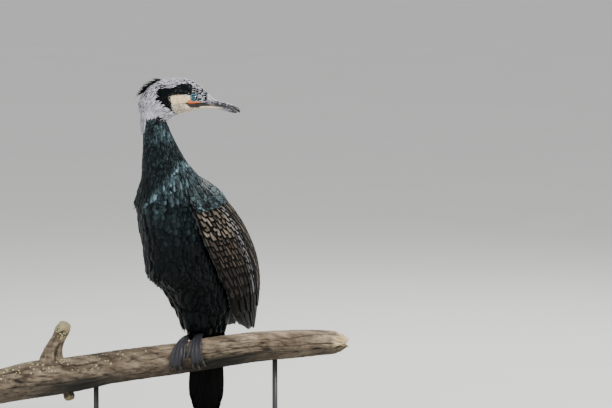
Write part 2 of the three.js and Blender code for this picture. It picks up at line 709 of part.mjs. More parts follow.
const group = new THREE.Group();
group.add(named('torso', torsoSolid, COLOURS.plumage));
group.add(named('neck_lower', flesh.intersect(slab(NECK_BASE_Z + GAP, NECK_MIDDLE_Z)), COLOURS.neck));
group.add(named('neck_upper', flesh.intersect(slab(NECK_MIDDLE_Z + GAP, HEAD_CUT_Z)), COLOURS.neck));
group.add(named('head', headSolid, COLOURS.white));
group.add(named('gular_pouch', pouchSolid, COLOURS.skin, 0.5));
group.add(named('bill_upper', billUpper, COLOURS.horn, 0.4));
group.add(named('bill_lower', billLower, COLOURS.horn, 0.4));
group.add(named('crest', crestSolid, COLOURS.plumage));
group.add(named('tail', tailSolid, COLOURS.flight));
for (const [side, word] of [[1, 'left'], [-1, 'right']]) {
  const flip = (solid) => (side > 0 ? solid : mirrored(solid));
  group.add(named(`eye_${word}`, sphereAt(eyeAt(-side), EYE.r, 12), COLOURS.eye, 0.1));
  group.add(named(`wing_coverts_${word}`, flip(covertsSolid), COLOURS.wing));
  group.add(named(`wing_flight_${word}`, flip(flightSolid), COLOURS.flight));
  group.add(named(`scapulars_${word}`, flip(scapularSolid), COLOURS.wing));
  const thigh = flesh.intersect(thighBox(side, 0)).intersect(slab(THIGH_LOW_Z, 400));
  group.add(named(`thigh_${word}`, thigh, COLOURS.plumage));
  const foot = footSolid(side);
  group.add(named(`foot_${word}`, foot, COLOURS.foot, 0.6));
  group.add(named(`tarsus_${word}`, tarsusSolid(side), COLOURS.foot, 0.6));
}
group.add(named('perch_branch', branchSolid, COLOURS.wood, 0.9));

const base = new THREE.BoxGeometry(BASE.x, BASE.y, BASE.h);
base.translate(BASE.middle[0], BASE.middle[1], BASE.h / 2);
group.add(named('stand_base', solidOf(base), COLOURS.stand));
ROD_STATIONS.forEach((station, i) => {
  group.add(named(`stand_rod_${i + 1}`, rodSolid(station), COLOURS.stand));
});

export default group;
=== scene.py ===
"""A life-size great cormorant in breeding plumage on a broken branch, built feather by feather.

Metres. The bird faces -Y, its left side is +X, and +Z is up.
"""

from functools import partial
import math

import bmesh
import bpy
import numpy as np
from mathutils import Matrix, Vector, noise


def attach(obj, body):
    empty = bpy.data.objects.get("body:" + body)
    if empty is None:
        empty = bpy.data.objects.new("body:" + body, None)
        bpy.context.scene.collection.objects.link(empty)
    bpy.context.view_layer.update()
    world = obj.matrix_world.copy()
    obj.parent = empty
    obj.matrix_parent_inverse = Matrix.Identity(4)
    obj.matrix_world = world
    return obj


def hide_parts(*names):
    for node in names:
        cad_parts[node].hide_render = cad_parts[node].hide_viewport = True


bl_info = {
    "name": "Perched cormorant model",
    "version": (1, 0, 0),
    "blender": (4, 5, 0),
    "location": "3D View > Sidebar > Cormorant",
    "description": "Builds a life-size great cormorant on a branch, feather by feather",
    "category": "Object",
}

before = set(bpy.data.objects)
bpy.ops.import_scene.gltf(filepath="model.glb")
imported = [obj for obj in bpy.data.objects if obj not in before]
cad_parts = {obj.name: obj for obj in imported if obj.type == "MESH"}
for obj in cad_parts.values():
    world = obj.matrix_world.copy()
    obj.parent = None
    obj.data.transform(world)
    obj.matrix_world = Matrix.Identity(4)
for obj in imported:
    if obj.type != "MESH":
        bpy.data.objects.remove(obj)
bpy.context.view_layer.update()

MM = 0.001
SIDES = ((1, "left"), (-1, "right"))

# Body and neck in level sections: height, middle, half width, reach to the front and to the back.
BODY = MM * np.array([
    (203, 58, 9, 9, 6), (212, 56, 26, 28, 16), (231, 50, 47, 57, 30), (265, 45, 62, 71, 46),
    (300, 34, 72, 90, 64), (334, 14, 78, 107, 86), (369, 0, 80, 100, 96), (403, -8, 80, 98, 90),
    (437, -20, 79, 93, 86), (472, -34, 75, 84, 76), (495, -44, 64, 72, 66), (518, -55, 52, 60, 55),
    (541, -68, 43, 50, 45), (566, -79, 36, 39, 38), (588, -87, 31, 32, 32), (608, -94, 27, 27, 28),
    (628, -101, 24, 24, 26), (646, -103, 21, 21, 24),
])

# Head: distance forward of the nape axis, top and low heights, half width.
HEAD_YAW = math.radians(30)
NAPE = (0.003, -0.1013)
HEAD = MM * np.array([
    (-28, 658, 641, 5), (-22, 671, 626, 14), (-12, 684, 614, 20), (4, 695, 613, 23), (20, 700.5, 620, 23.5),
    (38, 702.5, 631, 23.5), (55, 702, 636, 22.5), (70, 698, 639.5, 20.5), (86, 689.5, 644, 16.5),
    (97, 679.5, 646, 12.5), (106, 670, 647.5, 9.5),
])
BILL_UPPER = MM * np.array([
    (88, 679, 652.6, 10), (104, 672, 652, 9.5), (114, 663.5, 651.4, 8.5), (126, 659.3, 650, 7),
    (139, 656.5, 647.8, 6), (150, 653, 644.4, 5), (156, 650.6, 642.5, 4.6), (160, 647.5, 639.6, 3.6),
    (163, 643, 638.8, 1.6),
])
BILL_LOWER = MM * np.array([
    (88, 652.4, 645.6, 10), (104, 651.6, 645.5, 9), (114, 651, 645.4, 8), (126, 649.6, 643.8, 6.4),
    (139, 647.4, 640.8, 5.2), (150, 644, 638.2, 4.2), (155, 642, 638, 2.6), (157.5, 640.6, 638.6, 1.2),
])
EYE = {"reach": 0.0795, "side": 0.0142, "z": 0.667, "r": 0.0064}

# Marks of the face, seen from the side: forward of the nape axis and height.
CHEEK = MM * np.array([
    (36, 668.2), (38.8, 670.4), (48.6, 671.6), (60.7, 671.9), (71.3, 671.5), (74.6, 668.9), (74, 663.7),
    (69, 660.7), (63.7, 656.7), (54.7, 654.4), (42.6, 655.5), (36.9, 657),
])
POUCH = MM * np.array([
    (37.2, 658), (63.7, 657), (69, 651), (88, 648), (104, 649), (116, 648), (116, 630), (60, 626),
    (48, 633), (41, 639), (37.6, 645),
])
GAPE_SPOT = MM * np.array([
    (67.5, 657.3), (69.8, 661.5), (73, 664.5), (74.5, 667), (77.3, 663), (82, 661.5), (88, 660),
    (91.6, 658.2),
    (82, 655.9), (69, 655.8),
])
GAPE_CORNER = MM * np.array([
    (65.2, 657), (69, 655.5), (89.4, 655.9), (92, 652.5), (88, 648.5), (73, 648), (69, 651), (66, 654),
])
BLACK_BAND = MM * np.array([
    (73.5, 674.9), (73.5, 683.9), (69.8, 689.1), (63.7, 693.1), (56.9, 692.1), (51.7, 687.6), (39.6, 684.5),
    (29, 684), (18.5, 681.6), (9.4, 680.1), (8.7, 674.9), (17, 669), (7, 664), (18.5, 658.5), (25.2, 651),
    (33.5, 645), (39.6, 639), (37.3, 648), (35.4, 660), (36, 668.2), (40.3, 670.7), (54.7, 671.9), (69, 673),
])
EYE_STREAK = MM * np.array([(85, 673.5), (90, 672.5), (99.5, 667.5), (98.5, 666), (89, 670), (84, 671)])

# Left wing, mirrored for the right: front edge and back edge from wrist to tip.
WING_LEAD = ((66, -78, 468), (78, -52, 398), (81, -22, 346), (74, 19, 292), (57, 57, 238), (36, 126, 207))
WING_TRAIL = ((20, 40, 490), (26, 104, 420), (28, 142, 360), (25, 157, 310), (19, 163, 262), (21, 160, 210))
BACK_LINE = MM * np.array([
    (210, 154), (262, 157), (310, 151), (360, 137), (420, 102), (470, 58), (490, 31), (515, 4), (535, -17),
])
WING_BULGE = MM * np.array([(0, 30), (150, 40), (350, 38), (600, 31), (800, 23), (1000, 4)])

TAIL = {"root": (0, 0.056, 0.262), "tip": (0, 0.046, 0.027), "root_width": 0.046, "width": 0.080,
        "twist": math.radians(15), "quills": 14, "vane": 0.020, "step": 0.00105}

BRANCH_YAW = math.radians(22)
BRANCH = MM * np.array([
    (-389, 92, 34), (-330, 106, 36), (-237, 121, 34), (-143, 140, 31), (-40, 158, 30), (30, 173, 30.5),
    (138, 192, 28.5), (256, 203, 24), (300, 205, 19), (316, 206, 9),
])
UPPER_STUB = ((-262, -106, 118), (-258, -104, 160), (-244, -99, 196), (-232, -94, 219))
LOWER_STUB = ((-232, -94, 112), (-226, -96, 88), (-219, -98, 74))
FEET_MIDDLE = 0.005
HEEL = {"along": 0.012, "round": 62, "lift": 0.009, "hock": 0.028}
TOES = ((0.022, 205, 0.004), (0.0105, 218, 0.004), (0.0005, 210, 0.004), (-0.0085, 176, 0.0035))
TOE_RADIUS = (0.0036, 0.0022)
TARSUS_TOP = (0.027, 0.026, 0.233)
ANKLE_RADIUS = 0.0062

BASE = {"size": (0.400, 0.230, 0.018), "middle": (-0.008, 0.0)}
ROD_RADIUS = 0.005
ROD_STATIONS = (-0.190, 0.170)

# Camera: seen from the bird's left front, 6 degrees above the horizon.
CAMERA_AZIMUTH = math.radians(40)
CAMERA_ELEVATION = math.radians(6)
CAMERA_AIM = (0.1383, 0.1780, 0.4518)
CAMERA_DISTANCE = 8.0
FRAME_WIDTH = 1.1628
SENSOR_WIDTH = 36.0

# Coat: where it starts on the body, where the neck's smaller feathers start, and where it ends.
COAT_FOOT, COAT_NECK, COAT_TOP = 0.207, 0.50, 0.652
HEAD_FEATHERS = 9500
BILL_PLUMES = 380
CREST_LOCKS = 105
CREST_LENGTH = 0.015

# Stiff vanes: thickness of wing, tail, cape and crest feathers.
VANE_THICK, CAPE_THICK, LOCK_THICK = 0.0005, 0.0004, 0.0003
CAPE_ROWS = 6
CAPE_FEATHERS = 27
MANTLE = {"top": 0.512, "low": 0.275, "row": 0.0108, "pitch": 0.011, "length": 0.027, "half_width": 0.0086}

# Lids: radius of the ring, its place outward of the eye's middle, its thickness and its stretch forward.
LID = {"radius": 0.0058, "out": 0.0040, "thick": 0.0010, "stretch": 1.12}
LID_BEADS = {"count": 26, "size": 0.00078, "ring": 0.0064, "out": 0.0047}
CORNEA = {"bulge": 0.0006, "iris_degrees": 42}

# Grid that the webbed feet are joined on, and the rounds of smoothing after each join.
FOOT_GRID = 0.0009
FOOT_RELAX, SKIN_RELAX = 3, 4
TOE_STEPS = 24
CLAW = {"length": 0.014, "set_back": 0.003, "radius": 0.0024}
KNEE = (0.029, 0.034, 0.238)

# Branch: rings of the limb and of its broken end, sides, and the broken side shoots.
LIMB_RINGS, END_RINGS, LIMB_SIDES = 300, 24, 110
STUB_RINGS, STUB_SIDES = 60, 40
SPLINTERS = 46
LICHEN = {"density": 90000.0, "radius": 0.0015}

# Lamps: distances toward the camera, to its right and up, width, watts and colour.
LAMP_AIM = (0, 0, 0.42)
LAMPS = (
    ("key", 1.5, 1.9, 2.1, 0.7, 150, (1, 0.97, 0.92)),
    ("fill", 2.2, -1.8, 0.7, 2.4, 22, (0.92, 0.96, 1)),
    ("rim", -1.8, 0.8, 1.9, 1.2, 48, (0.95, 0.98, 1)),
)
FLOOR_REACH = 40.0

# Width of one feather's patch on the baked unwrap.
BAKE_PATCH = 0.003


def srgb(code):
    """Linear colour of an sRGB hex value."""
    parts = [int(code[i:i + 2], 16) / 255 for i in (1, 3, 5)]
    return tuple(c / 12.92 if c <= 0.04045 else ((c + 0.055) / 1.055) ** 2.4 for c in parts) + (1.0,)


def feed(target, inputs):
    """Sets a node's inputs: each is a value, an output socket, or a node for its first output."""
    for socket, value in inputs.items():
        if isinstance(value, bpy.types.Node):
            value = value.outputs[0]
        if isinstance(value, bpy.types.NodeSocket):
            target.id_data.links.new(value, target.inputs[socket])
        else:
            target.inputs[socket].default_value = value


def node(tree, kind, inputs=None, **settings):
    """Adds a node with its settings and inputs."""
    made = tree.nodes.new(kind)
    for name, value in settings.items():
        setattr(made, name, value)
    feed(made, inputs or {})
    return made


def smooth(table, column, at):
    """Cubic Hermite value of one column of a station table at the given places."""
    x, y = table[:, 0], table[:, column]
    at = np.clip(np.asarray(at, float), x[0], x[-1])
    i = np.clip(np.searchsorted(x, at, side="right") - 1, 0, len(x) - 2)
    slope = np.empty_like(y)
    slope[1:-1] = (y[2:] - y[:-2]) / (x[2:] - x[:-2])
    slope[0] = (y[1] - y[0]) / (x[1] - x[0])
    slope[-1] = (y[-1] - y[-2]) / (x[-1] - x[-2])
    span = x[i + 1] - x[i]
    u = (at - x[i]) / span
    return ((2 * u**3 - 3 * u**2 + 1) * y[i] + (u**3 - 2 * u**2 + u) * span * slope[i]
            + (3 * u**2 - 2 * u**3) * y[i + 1] + (u**3 - u**2) * span * slope[i + 1])


class Path:
    """A centripetal Catmull-Rom curve through points in millimetres."""

    def __init__(self, points, scale=MM):
        p = scale * np.array(points, float)
        self.points = np.vstack([2 * p[0] - p[1], p, 2 * p[-1] - p[-2]])
        self.spans = len(p) - 1

    def at(self, t):
        t = np.clip(np.asarray(t, float), 0, 1) * self.spans
        i = np.minimum(t.astype(int), self.spans - 1)
        u = (t - i)[..., None]
        p0, p1, p2, p3 = (self.points[i + k] for k in range(4))
        d0, d1, d2 = (np.linalg.norm(b - a, axis=-1, keepdims=True)**0.5 for a,
                      b in ((p0, p1), (p1, p2), (p2, p3)))
        m1 = d1 * ((p1 - p0) / d0 - (p2 - p0) / (d0 + d1) + (p2 - p1) / d1)
        m2 = d1 * ((p2 - p1) / d1 - (p3 - p1) / (d1 + d2) + (p3 - p2) / d2)
        return (p1 + m1 * u + (-3 * p1 + 3 * p2 - 2 * m1 - m2) * u**2 + (2 * p1 - 2 * p2 + m1 + m2) * u**3)


def unit(v):
    """Vectors of length one in the same directions."""
    return v / np.maximum(np.linalg.norm(v, axis=-1, keepdims=True), 1e-12)


def ease(value, low, high):
    """Smooth step from 0 at low to 1 at high."""
    t = np.clip((value - low) / (high - low), 0, 1)
    return t * t * (3 - 2 * t)


def inside(outline, x, y, soft):
    """Share of being inside an outline, fading over the width soft at its edge."""
    reach = np.full(np.shape(x), np.inf)
    odd = np.zeros(np.shape(x), bool)
    for (x0, y0), (x1, y1) in zip(outline, np.roll(outline, -1, axis=0)):
        along = np.clip(((x - x0) * (x1 - x0) + (y - y0) * (y1 - y0)) / ((x1 - x0)**2 + (y1 - y0)**2), 0, 1)
        reach = np.minimum(reach, np.hypot(x - x0 - along * (x1 - x0), y - y0 - along * (y1 - y0)))
        crosses = (y0 > y) != (y1 > y)
        odd ^= crosses & (x < (x1 - x0) * (y - y0) / ((y1 - y0) or 1e-12) + x0)
    return ease(np.where(odd, reach, -reach), -soft / 2, soft / 2)


def body_point(z, angle, lift):
    """A point of the body's surface; the front is at angle -90 degrees."""
    y, w, f, b = (smooth(BODY, column, z) for column in (1, 2, 3, 4))
    reach = np.where(np.sin(angle) < 0, f, b)
    return np.stack(np.broadcast_arrays((w + lift) * np.cos(angle), y + (reach + lift) * np.sin(angle), z),
                    -1)


def head_world(forward, side, z):
    """A point of the head: forward of the nape, to the head's right, and its height."""
    x = NAPE[0] + forward * math.cos(HEAD_YAW) + side * math.sin(HEAD_YAW)
    y = NAPE[1] + forward * math.sin(HEAD_YAW) - side * math.cos(HEAD_YAW)
    return np.stack(np.broadcast_arrays(x, y, z), -1)


def head_local(p):
    """Forward, side and height of points in the head's own directions."""
    x, y = p[..., 0] - NAPE[0], p[..., 1] - NAPE[1]
    forward = x * math.cos(HEAD_YAW) + y * math.sin(HEAD_YAW)
    return forward, x * math.sin(HEAD_YAW) - y * math.cos(HEAD_YAW), p[..., 2]


def head_share(forward):
    """Share of the head's length, from the nape to the bill's root."""
    return (forward - HEAD[0, 0]) / (HEAD[-1, 0] - HEAD[0, 0])


head_ahead = np.array([math.cos(HEAD_YAW), math.sin(HEAD_YAW), 0])
head_right = np.array([math.sin(HEAD_YAW), -math.cos(HEAD_YAW), 0])


def head_point(forward, angle, lift, table=HEAD):
    top, low, w = (smooth(table, column, forward) for column in (1, 2, 3))
    return head_world(forward, (w + lift) * np.cos(angle),
                      (top + low) / 2 + ((top - low) / 2 + lift) * np.sin(angle))


def in_head(p, margin):
    """True where a point lies inside the head's form by at least the margin."""
    forward, side, z = head_local(p)
    top, low, w = (smooth(HEAD, column, forward) for column in (1, 2, 3))
    radial = np.hypot(side / w, (z - (top + low) / 2) / ((top - low) / 2))
    return (forward > HEAD[0, 0]) & (forward < HEAD[-1, 0]) & (radial < 1 - margin / w)


def in_body(p, margin):
    """True where a point lies inside the body's form by at least the margin."""
    z = p[..., 2]
    y, w, f, b = (smooth(BODY, column, z) for column in (1, 2, 3, 4))
    dy = p[..., 1] - y
    radial = np.hypot(p[..., 0] / w, dy / np.where(dy < 0, f, b))
    return (z < BODY[-1, 0]) & (z > BODY[0, 0]) & (radial < 1 - margin / w)


wing_lead = Path(WING_LEAD)
wing_trail = Path(WING_TRAIL)


def wing_point(u, v, share, lift, side=1):
    """A point of a folded wing: u from wrist to tip, v from its lower edge to the back."""
    u, v, lift = np.broadcast_arrays(np.asarray(u, float), v, lift)
    a, b = wing_lead.at(u), wing_trail.at(u)
    chord = b - a
    out = unit(np.stack([chord[..., 1], -chord[..., 0], np.zeros_like(u)], -1))
    bulge = smooth(WING_BULGE, 1, u) * np.clip(np.sin(np.pi * v), 0, 1)**0.8 * share
    p = a + chord * v[..., None] + out * (bulge + lift)[..., None]
    return p * np.array([side, 1, 1])


branch_direction = np.array([math.cos(BRANCH_YAW), math.sin(BRANCH_YAW), 0])
branch_side = np.array([-math.sin(BRANCH_YAW), math.cos(BRANCH_YAW), 0])


def bark_point(along, angle, lift):
    """A point on the bark: along the branch, round it (90 degrees is its top, 180 its front), and off it."""
    along, angle, lift = np.broadcast_arrays(np.asarray(along, float), angle, lift)
    t = (along - BRANCH[0, 0]) / (BRANCH[-1, 0] - BRANCH[0, 0])
    r = smooth(BRANCH, 2, along) * (1 + 0.04 * np.sin(3 * angle + 9 * t)) + lift
    p = along[..., None] * branch_direction + (r * np.cos(angle))[..., None] * branch_side
    p[..., 2] = smooth(BRANCH, 1, along) + r * np.sin(angle)
    return p


def keep(obj, replaced=()):
    """Hands a finished piece to the frame."""
    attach(obj, "root")
    if replaced:
        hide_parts(*replaced)
    return obj


def mesh_object(name, points, faces, material=None, uvs=None, marks=None, outward=True):
    """A smooth mesh object, with UV maps given per point and float marks per point."""
    mesh = bpy.data.meshes.new(name)
    mesh.from_pydata(np.asarray(points).reshape(-1, 3).tolist(), [], faces)
    if outward and faces:
        shape = bmesh.new()
        shape.from_mesh(mesh)
        bmesh.ops.recalc_face_normals(shape, faces=shape.faces)
        shape.to_mesh(mesh)
        shape.free()
    corners = np.empty(len(mesh.loops), int)
    mesh.loops.foreach_get("vertex_index", corners)
    for label, uv in (uvs or {}).items():
        layer = mesh.uv_layers.new(name=label)
        layer.uv.foreach_set("vector", np.asarray(uv, np.float32).reshape(-1, 2)[corners].ravel())
    add_marks(mesh, marks or {})
    shade_smooth(mesh)
    if material:
        mesh.materials.append(material)
    obj = bpy.data.objects.new(name, mesh)
    bpy.context.scene.collection.objects.link(obj)
    return obj


def add_marks(mesh, marks):
    """Stores named values on the mesh's points: one number or three each."""
    for label, values in marks.items():
        values = np.asarray(values, np.float32)
        kind, field = ("FLOAT_VECTOR", "vector") if values.ndim == 2 else ("FLOAT", "value")
        mesh.attributes.new(label, kind, "POINT").data.foreach_set(field, values.ravel())


def settle(obj):
    """Turns the result of an object's modifiers into its own plain mesh."""
    graph = bpy.context.evaluated_depsgraph_get()
    mesh = bpy.data.meshes.new_from_object(obj.evaluated_get(graph), preserve_all_data_layers=True,
                                           depsgraph=graph)
    old = obj.data
    obj.modifiers.clear()
    obj.data = mesh
    bpy.data.meshes.remove(old)
    return obj


def shade_smooth(mesh):
    """Shades every face of a mesh smooth."""
    mesh.polygons.foreach_set("use_smooth", np.ones(len(mesh.polygons), bool))


def node_group(name, inputs):
    """A Geometry Nodes group with named inputs; returns it, its way to add a node and its input sockets."""
    tree = bpy.data.node_groups.new(name, "GeometryNodeTree")
    for label, kind in {"Geometry": "Geometry", **inputs}.items():
        tree.interface.new_socket(name=label, in_out="INPUT", socket_type=f"NodeSocket{kind}")
    tree.interface.new_socket(name="Geometry", in_out="OUTPUT", socket_type="NodeSocketGeometry")
    return tree, partial(node, tree), node(tree, "NodeGroupInput").outputs


def run_group(obj, label, tree, values):
    """Runs a node group on an object with the given inputs and leaves a plain mesh."""
    modifier = obj.modifiers.new(label, "NODES")
    modifier.node_group = tree
    for socket in tree.interface.items_tree:
        if socket.in_out == "INPUT" and socket.name in values:
            modifier[socket.identifier] = values[socket.name]
    return settle(obj)


def join_forms(obj, grid, rounds):
    """Joins an object's closed forms into one mesh on a grid, and relaxes it."""
    remesh = obj.modifiers.new("Join", "REMESH")
    remesh.mode = "VOXEL"
    remesh.voxel_size = grid
    relax = obj.modifiers.new("Relax", "SMOOTH")
    relax.factor, relax.iterations = 0.5, rounds
    return settle(obj)


def tube_faces(lengths, sides):
    """Faces of a closed tube of rings, with a cap at each end."""
    faces = [(i * sides + j, i * sides + (j + 1) % sides,
              (i + 1) * sides + (j + 1) % sides, (i + 1) * sides + j)
             for i in range(lengths - 1) for j in range(sides)]
    faces.append(tuple(range(sides)))
    faces.append(tuple((lengths - 1) * sides + j for j in reversed(range(sides))))
    return faces


def loft(rings):
    """Points and faces of a closed tube from its rings, an array of lengths by sides by 3."""
    lengths, sides = rings.shape[:2]
    return rings.reshape(-1, 3), tube_faces(lengths, sides)


def joined(parts):
    """Points and faces of several meshes as one."""
    points, faces, start = [], [], 0
    for part_points, part_faces in parts:
        points.append(part_points)
        faces += [tuple(start + i for i in face) for face in part_faces]
        start += len(part_points)
    return np.vstack(points), faces


def tube(centres, radii, sides=12, flat=1.0, up=(0, 0, 1)):
    """A round or flattened tube along points, as points and faces."""
    centres = np.asarray(centres, float)
    along = unit(np.gradient(centres, axis=0))
    across = unit(np.cross(along, np.broadcast_to(np.asarray(up, float), along.shape)))
    over = np.cross(across, along)
    angle = np.linspace(0, 2 * np.pi, sides, endpoint=False)
    r = np.broadcast_to(radii, len(centres))[:, None, None]
    rings = (centres[:, None] + r * (np.cos(angle)[None, :, None] * across[:, None]
                                     + flat * np.sin(angle)[None, :, None] * over[:, None]))
    return loft(rings)


def ball(centre, radius, sides=32, rings=20):
    """A closed sphere, as points and faces."""
    polar = np.linspace(0.02, np.pi - 0.02, rings)
    angle = np.linspace(0, 2 * np.pi, sides, endpoint=False)
    shape = np.stack([np.sin(polar)[:, None] * np.cos(angle), np.sin(polar)[:, None] * np.sin(angle),
                      np.broadcast_to(np.cos(polar)[:, None], (rings, sides))], -1)
    return loft(np.asarray(centre) + radius * shape)


def principled(name, **sockets):
    """A material with one shader; returns it, its way to add a node and the shader."""
    material = bpy.data.materials.new(name)
    material.use_nodes = True
    shader = material.node_tree.nodes["Principled BSDF"]
    feed(shader, {socket.replace("_", " "): value for socket, value in sockets.items()})
    return material, partial(node, material.node_tree), shader


def vane_share(t, taper=0.7):
    """Share of a feather's full width at t from root to tip, rounding off from taper on."""
    return np.where(t < taper, 0.62 + 0.38 * np.minimum(1, 2.2 * t),
                    np.sqrt(np.maximum(0, 1 - ((t - taper) / (1.004 - taper))**2)))


def plates(name, grids, thick, material, roots, marks=None):
    """Joins closed thin vanes into one piece.

    grids is vanes by lengths by widths by 3, and roots is each vane's place on the unwrap.
    """
    count, n, m = grids.shape[:3]
    along, across = np.gradient(grids, axis=1), np.gradient(grids, axis=2)
    normal = unit(np.cross(across, along))
    faced = [grids + normal * thick / 2, grids - normal * thick / 2]
    points = np.concatenate(faced, axis=1).reshape(count, -1, 3)
    quads = [(i * m + j, i * m + j + 1, (i + 1) * m + j + 1, (i + 1) * m + j)
             for i in range(n - 1) for j in range(m - 1)]
    faces = quads + [tuple(n * m + k for k in reversed(quad)) for quad in quads]
    rim = (list(range(m)) + [i * m + m - 1 for i in range(1, n)]
           + [(n - 1) * m + j for j in range(m - 2, -1, -1)] + [i * m for i in range(n - 2, 0, -1)])
    faces += [(a, n * m + a, n * m + b, b) for a, b in zip(rim, rim[1:] + rim[:1])]
    every = (np.arange(count)[:, None, None] * 2 * n * m + np.array(faces)).reshape(-1, 4).tolist()
    t, w = np.meshgrid(np.linspace(0, 1, n), np.linspace(0, 1, m), indexing="ij")
    vane = np.broadcast_to(np.tile(np.stack([w, t], -1).reshape(1, -1, 2), (1, 2, 1)), (count, 2 * n * m, 2))
    bake = roots[:, None] + (vane - 0.5) * BAKE_PATCH
    stored = {label: np.repeat(values, 2 * n * m) for label, values in (marks or {}).items()}
    return mesh_object(name, points, every, material, {"Vane": vane, "OFBake": bake}, stored)


def coat_tree():
    """Geometry Nodes: one feather on each root point, turned and sized by the point, with its bake patch."""
    tree, add, given = node_group("Feather coat", {
        "Feather": "Object", "Finish": "Material", "Lift": "Float", "Ruffle": "Float", "Bake patch": "Float",
        "Seed": "Int",
    })
    turn, size, root, vane = (
        add("GeometryNodeInputNamedAttribute", {"Name": label}, data_type="FLOAT_VECTOR")
        for label in ("turn", "size", "root", "Vane")
    )
    spread = add("ShaderNodeVectorMath", {0: (1.0, 0.6, 1.4), "Scale": given["Ruffle"]}, operation="SCALE")
    least = add("ShaderNodeVectorMath", {0: spread, "Scale": -1.0}, operation="SCALE")
    chance = add("FunctionNodeRandomValue", {0: least, 1: spread, "Seed": given["Seed"]},
                 data_type="FLOAT_VECTOR")
    lift = add("ShaderNodeCombineXYZ", {"X": given["Lift"]})
    tilt = add("ShaderNodeVectorMath", {0: chance, 1: lift}, operation="ADD")
    lie = add("FunctionNodeEulerToRotation", {0: turn})
    lean = add("FunctionNodeEulerToRotation", {0: tilt})
    turned = add("FunctionNodeRotateRotation", {0: lie, 1: lean}, rotation_space="LOCAL")
    feather = add("GeometryNodeObjectInfo", {"Object": given["Feather"]})
    placed = add("GeometryNodeInstanceOnPoints", {
        "Points": given["Geometry"], "Instance": feather.outputs["Geometry"],
        "Rotation": turned, "Scale": size,
    })
    real = add("GeometryNodeRealizeInstances", {"Geometry": placed})
    patch = add("ShaderNodeVectorMath", {0: vane, "Scale": given["Bake patch"]}, operation="SCALE")
    place = add("ShaderNodeVectorMath", {0: root, 1: patch}, operation="ADD")
    stored = add("GeometryNodeStoreNamedAttribute", {
        "Geometry": real, "Name": "OFBake", "Value": place,
    }, data_type="FLOAT2", domain="CORNER")
    finished = add("GeometryNodeSetMaterial", {"Geometry": stored, "Material": given["Finish"]})
    add("NodeGroupOutput", {"Geometry": finished})
    return tree


def feather_shape(name, lengths, bow, droop, taper=0.7):
    """One small feather of unit width and length along +Y, closed, its back up and its tip bent down."""
    t = np.linspace(0, 1, lengths + 1)
    half = 0.5 * np.where(t < taper, 0.6 + 0.4 * np.minimum(1, 2.5 * t),
                          np.sqrt(np.maximum(0, 1 - ((t - taper) / (1.001 - taper))**2)))
    half[-1] = 0.03
    bend = -bow * t * t
    rings = np.stack([np.stack([-half, t, bend - droop * half], -1),
                      np.stack([0 * t, t, bend], -1),
                      np.stack([half, t, bend - droop * half], -1)], 1)
    faces = []
    for i in range(lengths):
        a, b = 3 * i, 3 * i + 3
        faces += [(a, a + 1, b + 1, b), (a + 1, a + 2, b + 2, b + 1), (a + 2, a, b, b + 2)]
    faces += [(0, 2, 1), (3 * lengths, 3 * lengths + 1, 3 * lengths + 2)]
    uv = np.stack([rings[..., 0] + 0.5, np.broadcast_to(t[:, None], rings.shape[:2])], -1)
    return mesh_object(name, rings, faces, uvs={"Vane": uv})


def grow(name, coat, roots, shape, material, lift, ruffle, seed, replaced=()):
    """Grows one feather on each root. roots: at, normal, lie, width, length, place and marks."""
    lie = unit(roots["lie"] - np.sum(roots["lie"] * roots["normal"], -1, keepdims=True) * roots["normal"])
    across = np.cross(lie, roots["normal"])
    turn = np.stack([np.arctan2(lie[:, 2], roots["normal"][:, 2]), np.arcsin(np.clip(-across[:, 2], -1, 1)),
                     np.arctan2(across[:, 1], across[:, 0])], -1)
    size = np.stack([roots["width"], roots["length"], np.minimum(roots["width"], roots["length"])], -1)
    place = np.column_stack([roots["place"], np.zeros(len(size))])
    obj = mesh_object(name, roots["at"], [],
                      marks={"turn": turn, "size": size, "root": place, **roots["marks"]})
    run_group(obj, "Coat", coat, {
        "Feather": shape, "Finish": material, "Lift": lift, "Ruffle": ruffle, "Bake patch": BAKE_PATCH,
        "Seed": seed,
    })
    shade_smooth(obj.data)
    return keep(obj, replaced)


def body_roots(random, spacing_at, low, high, depth):
    """Rows of roots round the body, staggered and shaken, from the lowest up."""
    heights, angles = [], []
    z, row = low, 0
    while z < high:
        spacing = float(spacing_at(z))
        w, f, b = (float(smooth(BODY, column, z)) for column in (2, 3, 4))
        count = max(8, round(np.pi * (w + (f + b) / 2) / spacing))
        ring = 2 * np.pi * (np.arange(count) + 0.5 * (row % 2)) / count
        angles.append(ring + random.uniform(-0.35, 0.35, count) * 2 * np.pi / count)
        heights.append(z + random.uniform(-0.3, 0.3, count) * spacing)
        z += 0.8 * spacing
        row += 1
    z, angle = np.clip(np.concatenate(heights), low, high), np.concatenate(angles)
    at = body_point(z, angle, -depth)
    normal = unit(np.cross(body_point(z, angle + 1e-3, 0) - body_point(z, angle - 1e-3, 0),
                           body_point(z + 1e-4, angle, 0) - body_point(z - 1e-4, angle, 0)))
    return z, angle, at, normal


def under_wing(p, margin):
    """True where a point of the body is hidden below a folded wing."""
    u = np.linspace(0, 1, 120)
    lead, trail = wing_lead.at(u), wing_trail.at(u)
    z = p[..., 2]
    lead_y = np.interp(z, lead[::-1, 2], lead[::-1, 1])
    trail_y = np.interp(z, trail[:80][::-1, 2], trail[:80][::-1, 1])
    within = (z < 0.46) & (z > 0.235) & (np.abs(p[..., 0]) > 0.022)
    return within & (p[..., 1] > lead_y + margin) & (p[..., 1] < trail_y - margin)


